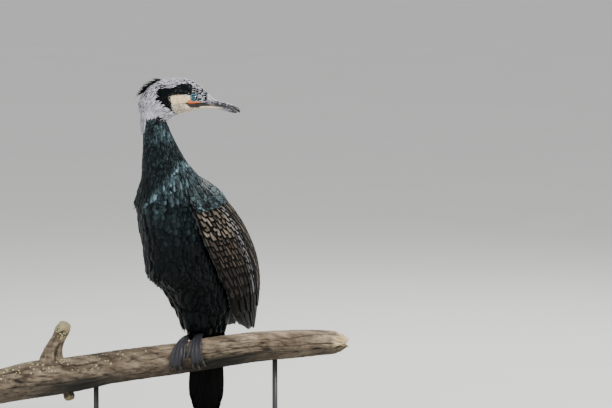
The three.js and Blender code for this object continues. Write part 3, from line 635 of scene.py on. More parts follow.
def face_marks(p, random=None):
    """Marks of the face at points, each from 0 to 1: bare parts, black band and the streak by the eye."""
    forward, _side, z = head_local(p)
    shake = random.normal(0, 0.0014, forward.shape) if random is not None else 0
    fade = 0.0025
    marks = {label: inside(outline, forward + shake, z + shake, soft)
             for label, outline, soft in (
                 ("cheek", CHEEK, fade), ("pouch", POUCH, fade), ("gape", GAPE_SPOT, fade),
                 ("corner", GAPE_CORNER, fade), ("band", BLACK_BAND, 0.002), ("streak", EYE_STREAK, 0.0015),
             )}
    near = ease(z, 0.626, 0.632) * ease(forward, 0.0, 0.004)
    return {label: value * near for label, value in marks.items()}


def plumage_material(colours):
    """Contour plumage of a cormorant: overlapping keratin vanes, black with a structural blue-green gloss.

    The gloss is partly the plumage's own blue-green and partly painted highlight; it is strongest on the neck
    and the upper breast, and on each feather it grows toward the tip.
    """
    material, add, shader = principled("cormorant contour plumage", Roughness=0.44, Specular_IOR_Level=0.14,
                                       Specular_Tint=srgb("#cfe2e6"))
    gloss, tone, pale = (add("ShaderNodeAttribute", attribute_name=label)
                         for label in ("gloss", "tone", "pale"))
    vane = add("ShaderNodeUVMap", uv_map="Vane")
    where = add("ShaderNodeSeparateXYZ", {0: vane})
    # Less gloss toward each feather's root: partly its own duller base, partly painted shade under the
    # feather above.
    depth = add("ShaderNodeMapRange", {"Value": where.outputs["Y"], 3: 0.45, 4: 1.0},
                interpolation_type="SMOOTHSTEP")
    black = add("ShaderNodeMix", {0: tone.outputs["Fac"], 6: srgb("#030304"), 7: colours.plumage},
                data_type="RGBA")
    # Blue-green of the gloss; its bright end is a painted highlight colour.
    teal = add("ShaderNodeMix", {0: tone.outputs["Fac"], 6: srgb("#17262c"), 7: colours.gloss},
               data_type="RGBA")
    share = add("ShaderNodeMath", {0: gloss.outputs["Fac"], 1: depth}, operation="MULTIPLY")
    dark = add("ShaderNodeMix", {0: share, 6: black.outputs[2], 7: teal.outputs[2]}, data_type="RGBA")
    base = add("ShaderNodeMix", {0: pale.outputs["Fac"], 6: dark.outputs[2], 7: srgb("#e6ddcb")},
               data_type="RGBA")
    feed(shader, {"Base Color": base.outputs[2]})
    return material


def quill_material(name, middle, rim, pale_rim, rim_at):
    """Stiff wing and tail vanes: glossy keratin, crisp black margin, raised shaft and slanting barbs."""
    material, add, shader = principled(name, Roughness=0.4, Specular_IOR_Level=0.05)
    tone = add("ShaderNodeAttribute", attribute_name="tone")
    sheen = add("ShaderNodeAttribute", attribute_name="sheen")
    vane = add("ShaderNodeUVMap", uv_map="Vane")
    where = add("ShaderNodeSeparateXYZ", {0: vane})
    off = add("ShaderNodeMath", {0: where.outputs["X"], 1: 0.5}, operation="SUBTRACT")
    aside = add("ShaderNodeMath", {0: off}, operation="ABSOLUTE")
    wide = add("ShaderNodeMath", {0: aside, 1: 2.0}, operation="MULTIPLY")
    tip = add("ShaderNodeMapRange", {"Value": where.outputs["Y"], 1: 0.55, 2: 1.0},
              interpolation_type="SMOOTHSTEP")
    tip_rim = add("ShaderNodeMath", {0: tip, 1: 0.95}, operation="MULTIPLY")
    reach = add("ShaderNodeMath", {0: wide, 1: tip_rim}, operation="MAXIMUM")
    edge = add("ShaderNodeMapRange", {"Value": reach, 1: rim_at - 0.1, 2: rim_at + 0.06},
               interpolation_type="SMOOTHSTEP")
    shaft = add("ShaderNodeMapRange", {"Value": wide, 1: 0.03, 2: 0.09, 3: 0.75, 4: 0.0})
    edged = add("ShaderNodeMath", {0: edge, 1: shaft}, operation="MAXIMUM")
    centre = add("ShaderNodeMix", {0: tone.outputs["Fac"], 6: middle[0], 7: middle[1]}, data_type="RGBA")
    # Painted highlight: marked feathers are mixed toward a pale grey where the light catches the wing.
    lit = add("ShaderNodeMix", {0: sheen.outputs["Fac"], 6: centre.outputs[2], 7: srgb("#83878b")},
              data_type="RGBA")
    marked = add("ShaderNodeMix", {0: edged, 6: lit.outputs[2], 7: srgb(rim)}, data_type="RGBA")
    outer = add("ShaderNodeMapRange", {"Value": wide, 1: 0.93, 2: 0.98, 3: 0.0, 4: pale_rim})
    base = add("ShaderNodeMix", {0: outer, 6: marked.outputs[2], 7: srgb("#6d675e")}, data_type="RGBA")
    skew = add("ShaderNodeMath", {0: aside, 1: where.outputs["Y"]}, operation="SUBTRACT")
    barbs = add("ShaderNodeMath", {0: skew, 1: 220.0}, operation="MULTIPLY")
    ripple = add("ShaderNodeMath", {0: barbs}, operation="SINE")
    bump = add("ShaderNodeBump", {"Strength": 0.25, "Distance": 0.0004, "Height": ripple})
    feed(shader, {"Base Color": base.outputs[2], "Normal": bump})
    return material


def plume_material(colours):
    """White filoplumes: hair-thin barbless feathers, matt, white with a faint lavender cast."""
    material, add, shader = principled("white filoplumes", Roughness=0.75)
    tone = add("ShaderNodeAttribute", attribute_name="tone")
    base = add("ShaderNodeMix", {0: tone.outputs["Fac"], 6: srgb("#a9a6b6"), 7: colours.plumes},
               data_type="RGBA")
    feed(shader, {"Base Color": base.outputs[2]})
    return material


def skin_material(colours):
    """Living skin: black under the plumage, cream at the cheek, yellowish on the throat, orange at the gape.

    Folds and fine pores give a soft satin surface; the dark lines along the folds' grooves are painted shade.
    """
    material, add, shader = principled("bird skin", Roughness=0.5, Subsurface_Weight=0.08,
                                       Subsurface_Radius=(0.004, 0.002, 0.001))
    place = add("ShaderNodeTexCoord").outputs["Object"]
    blotch = add("ShaderNodeTexNoise", {"Vector": place, "Scale": 320.0, "Detail": 4.0})
    mottle = add("ShaderNodeMapRange", {"Value": blotch.outputs["Fac"], 1: 0.35, 2: 0.65})
    cream = add("ShaderNodeMix", {0: mottle, 6: srgb("#d9bb90"), 7: colours.cheek}, data_type="RGBA")
    throat = add("ShaderNodeMix", {0: mottle, 6: srgb("#8a7d68"), 7: srgb("#ddd2bd")}, data_type="RGBA")
    colour = srgb("#0e1214")
    for label, mark in (("pouch", throat.outputs[2]), ("cheek", cream.outputs[2]),
                        ("corner", srgb("#1e1312")), ("gape", colours.gape),
                        # The seam mark is painted shade along the grooves of the throat's folds.
                        ("lore", srgb("#7c828c")), ("seam", srgb("#4a2f22"))):
        share = add("ShaderNodeAttribute", attribute_name=label)
        mixed = add("ShaderNodeMix", {0: share.outputs["Fac"], 6: colour, 7: mark}, data_type="RGBA")
        colour = mixed.outputs[2]
    pores = add("ShaderNodeTexVoronoi", {"Vector": place, "Scale": 1100.0})
    bump = add("ShaderNodeBump", {"Strength": 0.35, "Distance": 0.0004, "Height": pores.outputs["Distance"]})
    feed(shader, {"Base Color": colour, "Normal": bump})
    return material


def bill_material(colours):
    """Bill sheath: layered horn, pale grey at the sides, dark and speckled along the ridge and at the tip."""
    material, add, shader = principled("bill horn", Roughness=0.33)
    place = add("ShaderNodeTexCoord").outputs["Object"]
    dark = add("ShaderNodeAttribute", attribute_name="dark")
    cream = add("ShaderNodeAttribute", attribute_name="cream")
    flecks = add("ShaderNodeTexNoise", {"Vector": place, "Scale": 330.0, "Detail": 4.0, "Roughness": 0.65})
    offset = add("ShaderNodeMath", {0: flecks.outputs["Fac"], 1: 0.5}, operation="SUBTRACT")
    spread = add("ShaderNodeMath", {0: offset, 1: 3.4, 2: dark.outputs["Fac"]}, operation="MULTIPLY_ADD")
    share = add("ShaderNodeMapRange", {"Value": spread, 1: 0.36, 2: 0.62}, interpolation_type="SMOOTHSTEP")
    pale = add("ShaderNodeMix", {0: cream.outputs["Fac"], 6: colours.horn, 7: srgb("#cfc3a8")},
               data_type="RGBA")
    base = add("ShaderNodeMix", {0: share, 6: pale.outputs[2], 7: srgb("#17141a")}, data_type="RGBA")
    bump = add("ShaderNodeBump", {"Strength": 0.3, "Distance": 0.0005, "Height": flecks.outputs["Fac"]})
    feed(shader, {"Base Color": base.outputs[2], "Normal": bump})
    return material


def eye_material(colours):
    """Eyeball: black pupil and a teal-green iris with fine spokes, under a wet clear cornea."""
    material, add, shader = principled("cormorant eye", Roughness=0.08, Coat_Weight=1.0, Coat_Roughness=0.02)
    iris = add("ShaderNodeAttribute", attribute_name="iris")
    spokes = add("ShaderNodeTexNoise",
                 {"Vector": add("ShaderNodeTexCoord").outputs["Object"], "Scale": 1500.0})
    teal = add("ShaderNodeMix", {0: spokes.outputs["Fac"], 6: srgb("#083f4c"), 7: colours.iris},
               data_type="RGBA")
    share = add("ShaderNodeMapRange", {"Value": iris.outputs["Fac"], 1: 0.50, 2: 0.57})
    base = add("ShaderNodeMix", {0: share, 6: srgb("#020303"), 7: teal.outputs[2]}, data_type="RGBA")
    rim = add("ShaderNodeMapRange", {"Value": iris.outputs["Fac"], 1: 0.8, 2: 0.9})
    whole = add("ShaderNodeMix", {0: rim, 6: base.outputs[2], 7: srgb("#06100f")}, data_type="RGBA")
    feed(shader, {"Base Color": whole.outputs[2]})
    return material


def plain_skin_material(name, low, high, scale, depth, roughness=0.5):
    """Scaled or beaded skin: small raised cells with darker seams between them."""
    material, add, shader = principled(name, Roughness=roughness)
    place = add("ShaderNodeTexCoord").outputs["Object"]
    cells = add("ShaderNodeTexVoronoi", {"Vector": place, "Scale": scale})
    wide = add("ShaderNodeTexNoise", {"Vector": place, "Scale": scale / 6, "Detail": 3.0})
    seam = add("ShaderNodeMapRange", {"Value": cells.outputs["Distance"], 1: 0.35, 2: 0.6, 3: 1.0, 4: 0.45})
    tint = add("ShaderNodeMix", {0: wide.outputs["Fac"], 6: low, 7: high}, data_type="RGBA")
    base = add("ShaderNodeMix", {0: seam, 6: srgb("#08090b"), 7: tint.outputs[2]}, data_type="RGBA")
    bump = add("ShaderNodeBump", {"Strength": 0.6, "Distance": depth, "Height": seam})
    feed(shader, {"Base Color": base.outputs[2], "Normal": bump})
    return material


def claw_material():
    """Claw horn: smooth black keratin, a little glossy."""
    material, add, shader = principled("claw horn", Roughness=0.3)
    grain = add("ShaderNodeTexNoise", {
        "Vector": add("ShaderNodeTexCoord").outputs["Object"], "Scale": 700.0, "Detail": 3.0,
    })
    base = add("ShaderNodeMix", {0: grain.outputs["Fac"], 6: srgb("#0d0c0d"), 7: srgb("#3a3536")},
               data_type="RGBA")
    feed(shader, {"Base Color": base.outputs[2]})
    return material


def wood_material(colours):
    """Dead weathered wood without bark: silvery fibres along the branch, drying cracks darkened with painted
    shade, darker on the underside.
    """
    material, add, shader = principled("weathered dead wood", Roughness=0.85)
    place = add("ShaderNodeTexCoord").outputs["Object"]
    along = add("ShaderNodeMapping", {"Vector": place, "Rotation": (0, math.radians(8.6), -BRANCH_YAW),
                                      "Scale": (7, 95, 95)}, vector_type="POINT")
    fibre = add("ShaderNodeTexNoise", {"Vector": along, "Scale": 1.0, "Detail": 6.0, "Roughness": 0.65})
    blotch = add("ShaderNodeTexNoise", {"Vector": place, "Scale": 22.0, "Detail": 5.0})
    crack, damp, fresh = (add("ShaderNodeAttribute", attribute_name=label)
                          for label in ("crack", "damp", "fresh"))
    share = add("ShaderNodeMapRange", {"Value": fibre.outputs["Fac"], 1: 0.32, 2: 0.68})
    spots = add("ShaderNodeMapRange", {"Value": blotch.outputs["Fac"], 1: 0.4, 2: 0.7})
    grey = add("ShaderNodeMix", {0: share, 6: srgb("#33271e"), 7: colours.wood}, data_type="RGBA")
    brown = add("ShaderNodeMix", {0: spots, 6: grey.outputs[2], 7: srgb("#4d3a28")}, data_type="RGBA")
    half = add("ShaderNodeMix", {0: 0.55, 6: grey.outputs[2], 7: brown.outputs[2]}, data_type="RGBA")
    new = add("ShaderNodeMix", {0: fresh.outputs["Fac"], 6: half.outputs[2], 7: srgb("#cbb68f")},
              data_type="RGBA")
    # Darker on the branch's underside and on the lower stub.
    darkened_below = add("ShaderNodeMix", {0: damp.outputs["Fac"], 6: new.outputs[2], 7: srgb("#191912")},
              data_type="RGBA")
    # Painted shade: the cracks that bark_height carves are also darkened here.
    base = add("ShaderNodeMix", {0: crack.outputs["Fac"], 6: darkened_below.outputs[2], 7: srgb("#17110c")},
               data_type="RGBA")
    bump = add("ShaderNodeBump", {"Strength": 0.8, "Distance": 0.0012, "Height": fibre.outputs["Fac"]})
    feed(shader, {"Base Color": base.outputs[2], "Normal": bump})
    return material


def lichen_material():
    """Crustose lichen: dry, matt, pale yellow-green, with paler rims."""
    material, add, shader = principled("crust lichen", Roughness=0.95)
    place = add("ShaderNodeTexCoord").outputs["Object"]
    grain = add("ShaderNodeTexNoise", {"Vector": place, "Scale": 400.0, "Detail": 4.0})
    base = add("ShaderNodeMix", {0: grain.outputs["Fac"], 6: srgb("#8e8a58"), 7: srgb("#ddd6a8")},
               data_type="RGBA")
    feed(shader, {"Base Color": base.outputs[2]})
    return material


def stand_material():
    """Steel with a black powder coat: satin, with a fine orange-peel surface."""
    material, add, shader = principled("powder-coated steel", Roughness=0.42)
    place = add("ShaderNodeTexCoord").outputs["Object"]
    peel = add("ShaderNodeTexNoise", {"Vector": place, "Scale": 900.0, "Detail": 2.0})
    base = add("ShaderNodeMix", {0: peel.outputs["Fac"], 6: srgb("#222224"), 7: srgb("#343437")},
               data_type="RGBA")
    bump = add("ShaderNodeBump", {"Strength": 0.25, "Distance": 0.0002, "Height": peel.outputs["Fac"]})
    feed(shader, {"Base Color": base.outputs[2], "Normal": bump})
    return material


def floor_material():
    """Matt painted studio floor, pale and even."""
    material, add, shader = principled("matt studio paint", Roughness=0.9)
    grain = add("ShaderNodeTexNoise", {
        "Vector": add("ShaderNodeTexCoord").outputs["Object"], "Scale": 3.0, "Detail": 2.0,
    })
    base = add("ShaderNodeMix", {0: grain.outputs["Fac"], 6: srgb("#d6d5d1"), 7: srgb("#dcdbd8")},
               data_type="RGBA")
    feed(shader, {"Base Color": base.outputs[2]})
    return material


class CormorantSizes(bpy.types.PropertyGroup):
    """Sizes of the coat and pieces that a user may change."""

    neck_feather: bpy.props.FloatProperty(
        name="Neck feather", description="Spacing of the feathers on the neck", default=0.0037,
        unit="LENGTH")
    body_feather: bpy.props.FloatProperty(
        name="Body feather", description="Spacing of the feathers on the belly and back", default=0.0088,
        unit="LENGTH")
    head_feather: bpy.props.FloatProperty(
        name="Head feather", description="Spacing of the feathers on the head", default=0.0019,
        unit="LENGTH")
    coat_depth: bpy.props.FloatProperty(
        name="Coat depth", description="Depth of the body's coat over the skin", default=0.0035,
        unit="LENGTH")
    head_depth: bpy.props.FloatProperty(
        name="Head coat depth", description="Depth of the head's coat over the skin", default=0.0012,
        unit="LENGTH")
    skin_voxel: bpy.props.FloatProperty(
        name="Skin grid", description="Grid that the skin is joined on", default=0.0027, unit="LENGTH")
    plumes: bpy.props.IntProperty(name="Filoplumes", description="White filoplumes on head and nape",
                                  default=4200)
    seed: bpy.props.IntProperty(name="Seed", description="Seed of every random draw", default=11)


class CormorantColours(bpy.types.PropertyGroup):
    """Colours of plumage, bare parts and wood that a user may change."""

    plumage: bpy.props.FloatVectorProperty(
        name="Plumage", description="Black of the contour feathers", default=srgb("#080a0b"), size=4,
        subtype="COLOR")
    # Bright end of the gloss: partly the plumage's own blue-green, partly painted highlight.
    gloss: bpy.props.FloatVectorProperty(
        name="Gloss", description="Blue-green gloss of neck and breast", default=srgb("#7d9aa3"), size=4,
        subtype="COLOR")
    bronze: bpy.props.FloatVectorProperty(
        name="Bronze", description="Centres of the small wing coverts", default=srgb("#786e62"), size=4,
        subtype="COLOR")
    plumes: bpy.props.FloatVectorProperty(
        name="Plumes", description="White filoplumes of the head", default=srgb("#efedf4"), size=4,
        subtype="COLOR")
    cheek: bpy.props.FloatVectorProperty(
        name="Cheek", description="Pale skin behind the eye", default=srgb("#efdcb8"), size=4,
        subtype="COLOR")
    gape: bpy.props.FloatVectorProperty(
        name="Gape", description="Orange skin below the eye", default=srgb("#dd7431"), size=4,
        subtype="COLOR")
    iris: bpy.props.FloatVectorProperty(
        name="Iris", description="Ring of the eye", default=srgb("#1b8791"), size=4, subtype="COLOR")
    horn: bpy.props.FloatVectorProperty(
        name="Horn", description="Grey of the bill's sides", default=srgb("#807d86"), size=4,
        subtype="COLOR")
    foot: bpy.props.FloatVectorProperty(
        name="Foot", description="Skin of toes and webs", default=srgb("#33333d"), size=4, subtype="COLOR")
    wood: bpy.props.FloatVectorProperty(
        name="Wood", description="Weathered upper side of the branch", default=srgb("#a8967d"), size=4,
        subtype="COLOR")


class CORMORANT_OT_skin(bpy.types.Operator):
    """Build the one skin under the plumage, with the bare face and throat"""

    bl_idname = "cormorant.skin"
    bl_label = "Skin"

    def execute(self, context):
        sizes = context.scene.cormorant_sizes
        angle = np.linspace(0, 2 * np.pi, 72, endpoint=False)
        z = np.linspace(BODY[0, 0] + sizes.coat_depth, BODY[-1, 0], 150)[:, None]
        body = loft(body_point(z, angle[None], -sizes.coat_depth * ease(z, 0.66, 0.60) - sizes.head_depth))
        s = np.linspace(HEAD[0, 0], HEAD[-1, 0], 110)[:, None]
        marks = face_marks(head_point(s, angle[None], 0))
        bare = np.maximum.reduce([marks[label] for label in ("cheek", "pouch", "gape", "corner")])
        head = loft(head_point(s, angle[None], -sizes.head_depth * (1 - bare) - 0.0003 * bare))
        parts = [body, head]
        knee = np.array(KNEE)
        for side, _word in SIDES:
            t = np.linspace(0, 1, 60)[:, None]
            v = (1 - np.cos(angle[None])) / 2
            outer = np.sin(angle[None])
            core = np.where(outer >= 0, 1.0, 0.25)
            parts.append(loft(wing_point(t, v, core, 0.0005 * outer - 0.0012, side)))
            hock = heel_point(side, HEEL["hock"])
            steps = np.linspace(0, 1, 12)[:, None]
            shank = hock + (knee * np.array([side, 1, 1]) - hock) * steps
            parts.append(tube(shank, 0.005 + 0.009 * steps[:, 0], 20))
        obj = mesh_object("skin", *joined(parts), skin_material(context.scene.cormorant_colours))
        join_forms(obj, sizes.skin_voxel, SKIN_RELAX)
        self.refine_face(obj)
        keep(obj, ("torso", "neck_lower", "neck_upper", "head", "gular_pouch", "thigh_left",
                              "thigh_right"))
        return {"FINISHED"}

    def refine_face(self, obj):
        """Finer faces on the bare face, its folds, and the marks that the material reads."""
        shape = bmesh.new()
        shape.from_mesh(obj.data)
        for _ in range(2):
            points = np.array([e.verts[0].co for e in shape.edges])
            forward, _side, z = head_local(points)
            wanted = (forward > 0.026) & (z > 0.626) & (z < 0.678)
            edges = [e for e, use in zip(shape.edges, wanted) if use]
            bmesh.ops.subdivide_edges(shape, edges=edges, cuts=1, use_grid_fill=True, smooth=0.3)
        bmesh.ops.triangulate(shape, faces=[f for f in shape.faces if len(f.verts) > 4])
        shape.normal_update()
        for v in shape.verts:
            forward, _side, z = head_local(np.array(v.co))
            if forward > 0.024 and z > 0.621:
                v.co += v.normal * self.fold(v.co, forward, z)
        shape.to_mesh(obj.data)
        shape.free()
        points = np.empty(3 * len(obj.data.vertices))
        obj.data.vertices.foreach_get("co", points)
        points = points.reshape(-1, 3)
        marks = face_marks(points)
        forward, _side, z = head_local(points)
        marks["lore"] = ease(forward, 0.078, 0.084) * ease(z, 0.657, 0.660) * (1 - marks["gape"]) * 0.9
        # Painted shade along the two grooves that fold() cuts in the throat.
        seam = (np.exp(-((z - 0.6553) / 0.0009)**2) + 0.7
                * np.exp(-((z - 0.6432 + 0.15 * (forward - 0.05)) / 0.0008)**2))
        marks["seam"] = 0.7 * seam * ease(forward, 0.042, 0.055) * ease(0.100 - forward, 0, 0.006)
        add_marks(obj.data, marks)
        shade_smooth(obj.data)

    def fold(self, co, forward, z):
        """Height of the folds of cheek and throat at one point."""
        bulge = 0.0042 * math.exp(-((forward - 0.0625) / 0.0075)**2 - ((z - 0.6495) / 0.0045)**2)
        groove = -0.0018 * math.exp(-((z - 0.6552) / 0.0011)**2) * float(ease(forward, 0.050, 0.062))
        lower = -0.0011 * math.exp(-((z - 0.6420 + 0.1 * (forward - 0.05)) / 0.0012)**2)
        pleat = 0.0004 * math.sin(2600 * (z + 0.25 * forward)) * float(ease(0.652 - z, 0, 0.004))
        grain = 0.0006 * noise.noise(Vector(co) * 260) + 0.0003 * noise.noise(Vector(co) * 700)
        return bulge + groove + lower + pleat + grain


class CORMORANT_OT_body_coat(bpy.types.Operator):
    """Grow the feathers of neck, breast, belly, back and thighs"""

    bl_idname = "cormorant.body_coat"
    bl_label = "Body coat"

    def execute(self, context):
        sizes = context.scene.cormorant_sizes
        random = np.random.default_rng(sizes.seed)
        coat = coat_tree()
        material = plumage_material(context.scene.cormorant_colours)
        shape = feather_shape("feather", 5, 0.10, 0.22)
        for name, low, high, spacing in (
            ("body_feathers", COAT_FOOT, COAT_NECK,
             lambda z: sizes.body_feather - 0.0035 * ease(z, 0.43, 0.50)),
            ("neck_feathers", COAT_NECK, COAT_TOP,
             lambda z: sizes.neck_feather + 0.0012 * ease(z, 0.55, 0.50)),
        ):
            z, angle, at, normal = body_roots(random, spacing, low, high, sizes.coat_depth)
            shown = ~in_head(at, 0.001) & ~under_wing(at, 0.012)
            z, angle, at, normal = (values[shown] for values in (z, angle, at, normal))
            count = len(z)
            width = np.array([spacing(v) for v in z]) * random.uniform(1.5, 2.0, count)
            length = width * (1.5 + 0.6 * ease(z, 0.40, 0.25)) * random.uniform(0.9, 1.15, count)
            length *= (1 + 0.9 * ease(z, 0.465, 0.480) * ease(-z, -0.53, -0.50)
                       * ease(np.sin(angle), -0.75, -0.45))
            lie = np.stack([0.10 * np.cos(angle) + random.normal(0, 0.05, count),
                            0.12 * np.sin(angle) + random.normal(0, 0.05, count), -np.ones(count)], -1)
            place = np.stack([(angle / (2 * np.pi)) % 1, (z - BODY[0, 0]) / (BODY[-1, 0] - BODY[0, 0])], -1)
            roots = {"at": at, "normal": normal, "lie": lie, "width": width, "length": length,
                     "place": 0.02 + 0.96 * np.clip(place, 0, 1),
                     "marks": {"gloss": self.gloss(z, angle, random), "tone": random.uniform(0, 1, count),
                               "pale": np.zeros(count)}}
            grow(name, coat, roots, shape, material, 0.13, 0.05, sizes.seed)
        bpy.data.objects.remove(shape)
        return {"FINISHED"}

    def gloss(self, z, angle, random):
        """Share of blue-green gloss, partly the plumage's own and partly painted light: neck, a bright
        painted highlight band at its foot, the upper breast on the lit side, and painted shade along the
        breast's front.
        """
        front = np.degrees((angle + np.pi) % (2 * np.pi) - np.pi)
        # Less gloss on the throat just below the head: painted shade.
        throat = np.exp(-((front + 75) / 22)**2 - ((z - 0.610) / 0.022)**2)
        neck = 0.55 * ease(z, 0.568, 0.605) * (1 - 0.85 * throat)
        # The band at the neck's foot and the glow below it are painted highlight, shown only on the lit left
        # side.
        band_z = 0.491 + 0.052 * np.cos(angle - np.radians(15))
        seen = ease(front, -112, -90) * ease(-front, -150, -110)
        band = np.exp(-((z - band_z) / 0.0075)**2) * seen
        below = 0.50 * ease(z - band_z, -0.060, -0.008) * ease(band_z - z, -0.006, 0.004) * seen
        belly = 0.012 + 0.11 * ease(z, 0.38, 0.45)
        # A dark line down the breast's front is painted shade where the breast turns away from the light.
        painted_midline_shade = 1 - 0.85 * np.exp(-((front + 88) / 5)**2) * ease(z, 0.40, 0.42) * ease(-z, -0.50, -0.48)
        patch = 0.16 + 0.90 * random.uniform(0, 1, len(z))**1.6
        return np.clip(np.maximum.reduce([neck, band, below, belly]) * painted_midline_shade * patch * 1.15, 0, 1)


class CORMORANT_OT_head_coat(bpy.types.Operator):
    """Grow the short black feathers, the white filoplumes and the crest of the head"""

    bl_idname = "cormorant.head_coat"
    bl_label = "Head coat and crest"

    def head_roots(self, random, count, low_s, high_s, depth):
        """Random roots on the head, spread evenly over its area."""
        s = random.uniform(low_s, high_s, 4 * count)
        angle = random.uniform(-np.pi, np.pi, 4 * count)
        da = head_point(s, angle + 1e-3, 0) - head_point(s, angle - 1e-3, 0)
        ds = head_point(s + 1e-4, angle, 0) - head_point(s - 1e-4, angle, 0)
        cross = np.cross(ds, da)
        area = np.linalg.norm(cross, axis=-1)
        chosen = random.uniform(0, 1, len(s)) < area / np.quantile(area, 0.98) * 0.5
        s, angle, cross = s[chosen][:count], angle[chosen][:count], cross[chosen][:count]
        at = head_point(s, angle, -depth)
        outward = np.sum(cross * (at - head_world(s, 0, (smooth(HEAD, 1, s) + smooth(HEAD, 2, s)) / 2)), -1)
        return s, angle, at, unit(cross * np.sign(outward)[:, None])

    def lie(self, at, random):
        """The lie of the head's feathers: back over the crown and down the nape."""
        forward, _side, z = head_local(at)
        down = 0.15 + 1.6 * ease(0.030 - forward, 0, 0.05) * ease(0.700 - z, 0, 0.03)
        lie = np.broadcast_to(-head_ahead, at.shape) + random.normal(0, 0.12, at.shape)
        lie[:, 2] -= down
        return lie

    def execute(self, context):
        sizes = context.scene.cormorant_sizes
        random = np.random.default_rng(sizes.seed)
        coat = coat_tree()
        black = plumage_material(context.scene.cormorant_colours)
        black.name = "cormorant head feathers"
        shape = feather_shape("feather", 3, 0.12, 0.25)
        s, angle, at, normal = self.head_roots(random, HEAD_FEATHERS, HEAD[0, 0], 0.104, sizes.head_depth)
        marks = face_marks(at, random)
        forward, _side, z = head_local(at)
        bare = np.maximum.reduce([marks["pouch"], marks["gape"], marks["corner"]])
        eye_ring = np.hypot(forward - EYE["reach"], z - EYE["z"]) > EYE["r"] + 0.0022
        lore = ease(forward, 0.086, 0.092) * ease(0.664 - z, 0, 0.004)
        shown = ((bare < 0.35) & (eye_ring | (z > 0.686)) & ~in_body(at, 0.002) & (lore < 0.5)
                 & (marks["cheek"] < 0.7))
        s, angle, at, normal = (values[shown] for values in (s, angle, at, normal))
        count = len(s)
        size = 0.0019 + 0.0012 * ease(0.05 - s, 0, 0.05)
        roots = {"at": at, "normal": normal, "lie": self.lie(at, random),
                 "width": size * random.uniform(0.8, 1.2, count),
                 "length": 2.1 * size * random.uniform(0.9, 1.2, count),
                 "place": 0.02 + 0.96 * np.stack([(angle / (2 * np.pi)) % 1, head_share(s)], -1),
                 "marks": {"gloss": 0.05 * random.uniform(0, 1, count),
                           "tone": random.uniform(0, 0.5, count),
                           "pale": marks["cheek"][shown]}}
        grow("head_feathers", coat, roots, shape, black, 0.14, 0.08, sizes.seed)
        bpy.data.objects.remove(shape)
        self.plumes(sizes, random, coat, plume_material(context.scene.cormorant_colours))
        self.crest(random, black)
        return {"FINISHED"}

    def plumes(self, sizes, random, coat, white):
        """White filoplumes, thick on crown, cheeks' rear and nape, none on the black band."""
        s, angle, at, normal = self.head_roots(random, int(1.6 * sizes.plumes), HEAD[0, 0], 0.100, 0.0002)
        lie = self.lie(at, random)
        neck_z = random.uniform(0.600, 0.650, sizes.plumes)
        turn = random.uniform(0, 2 * np.pi, sizes.plumes)
        neck_at = body_point(neck_z, turn, 0)
        neck_normal = unit(neck_at - body_point(neck_z, turn, -0.01))
        neck_lie = (np.tile(np.array([0.0, 0.0, -1.0]), (sizes.plumes, 1))
                    + random.normal(0, 0.12, (sizes.plumes, 3)))
        at, normal = np.vstack([at, neck_at]), np.vstack([normal, neck_normal])
        lie = np.vstack([lie, neck_lie])
        bill_s = random.uniform(0.094, 0.1145, BILL_PLUMES)
        bill_turn = random.uniform(0.35, np.pi - 0.35, BILL_PLUMES)
        bill_at = head_point(bill_s, bill_turn, -0.0001, BILL_UPPER)
        bill_normal = unit(head_point(bill_s, bill_turn, 0.01, BILL_UPPER) - bill_at)
        at, normal = np.vstack([at, bill_at]), np.vstack([normal, bill_normal])
        lie = np.vstack([lie, -head_ahead + random.normal(0, 0.12, (BILL_PLUMES, 3))])
        place = np.concatenate([np.stack([(angle / (2 * np.pi)) % 1, 0.3 + 0.6 * head_share(s)], -1),
                                np.stack([turn / (2 * np.pi), 4 * (neck_z - 0.6)], -1),
                                np.stack([bill_turn / (2 * np.pi), 0.92 + 0.05 * bill_s], -1)])
        marks = face_marks(at, random)
        forward, side, z = head_local(at)
        on_neck = (np.arange(len(at)) >= len(s)) & (z < 0.655)
        buried = (np.where(on_neck, in_head(at, 0.001), in_body(at, 0.001))
                  | ((forward > 0.096) & in_head(at, 0.0008)))
        bare = np.maximum.reduce([marks[label] for label in ("pouch", "gape", "corner", "cheek")])
        eye_ring = np.hypot(forward - EYE["reach"], z - EYE["z"]) < EYE["r"] + 0.0035
        nape_reach = 0.602 + 0.032 * ease(forward, -0.017, -0.008) - 0.012 * ease(forward, 0.016, 0.026)
        nape_reach += 0.003 * np.sin(180 * side)
        chance = random.uniform(0, 1, len(at))
        forehead = ease(forward, 0.066, 0.080)
        flecks = (ease(forward, 0.0, 0.02) * ease(0.060 - forward, 0, 0.012) * ease(z, 0.680, 0.684)
                  * ease(0.698 - z, 0, 0.010))
        dense = (np.where(z < nape_reach, 0.0, 1.0) * (1 - 0.97 * marks["band"])
                 * (1 - 0.98 * marks["streak"]))
        dense *= (1 - 0.35 * forehead) * (1 - 0.5 * flecks)
        for reach in (0.003, 0.006):
            dense *= 1 - 0.85 * face_marks(at + reach * unit(lie))["band"]
        shown = ~buried & (bare < 0.3) & ~(eye_ring & (z < 0.686)) & (chance < dense)
        shown &= ~((forward > 0.086) & (z < 0.658))
        at, normal, lie, place = (values[shown] for values in (at, normal, lie, place))
        count = len(at)
        short = ease(head_local(at)[0], 0.02, 0.09)
        shape = feather_shape("plume", 3, 0.10, 0.1, taper=0.5)
        roots = {"at": at, "normal": normal, "lie": lie, "width": random.uniform(0.0006, 0.0011, count),
                 "length": (0.0085 - 0.0045 * short) * random.uniform(0.7, 1.25, count),
                 "place": 0.02 + 0.96 * np.clip(place, 0, 1),
                 "marks": {"tone": random.uniform(0, 1, count)}}
        grow("filoplumes", coat, roots, shape, white, 0.10, 0.09, sizes.seed + 1)
        bpy.data.objects.remove(shape)

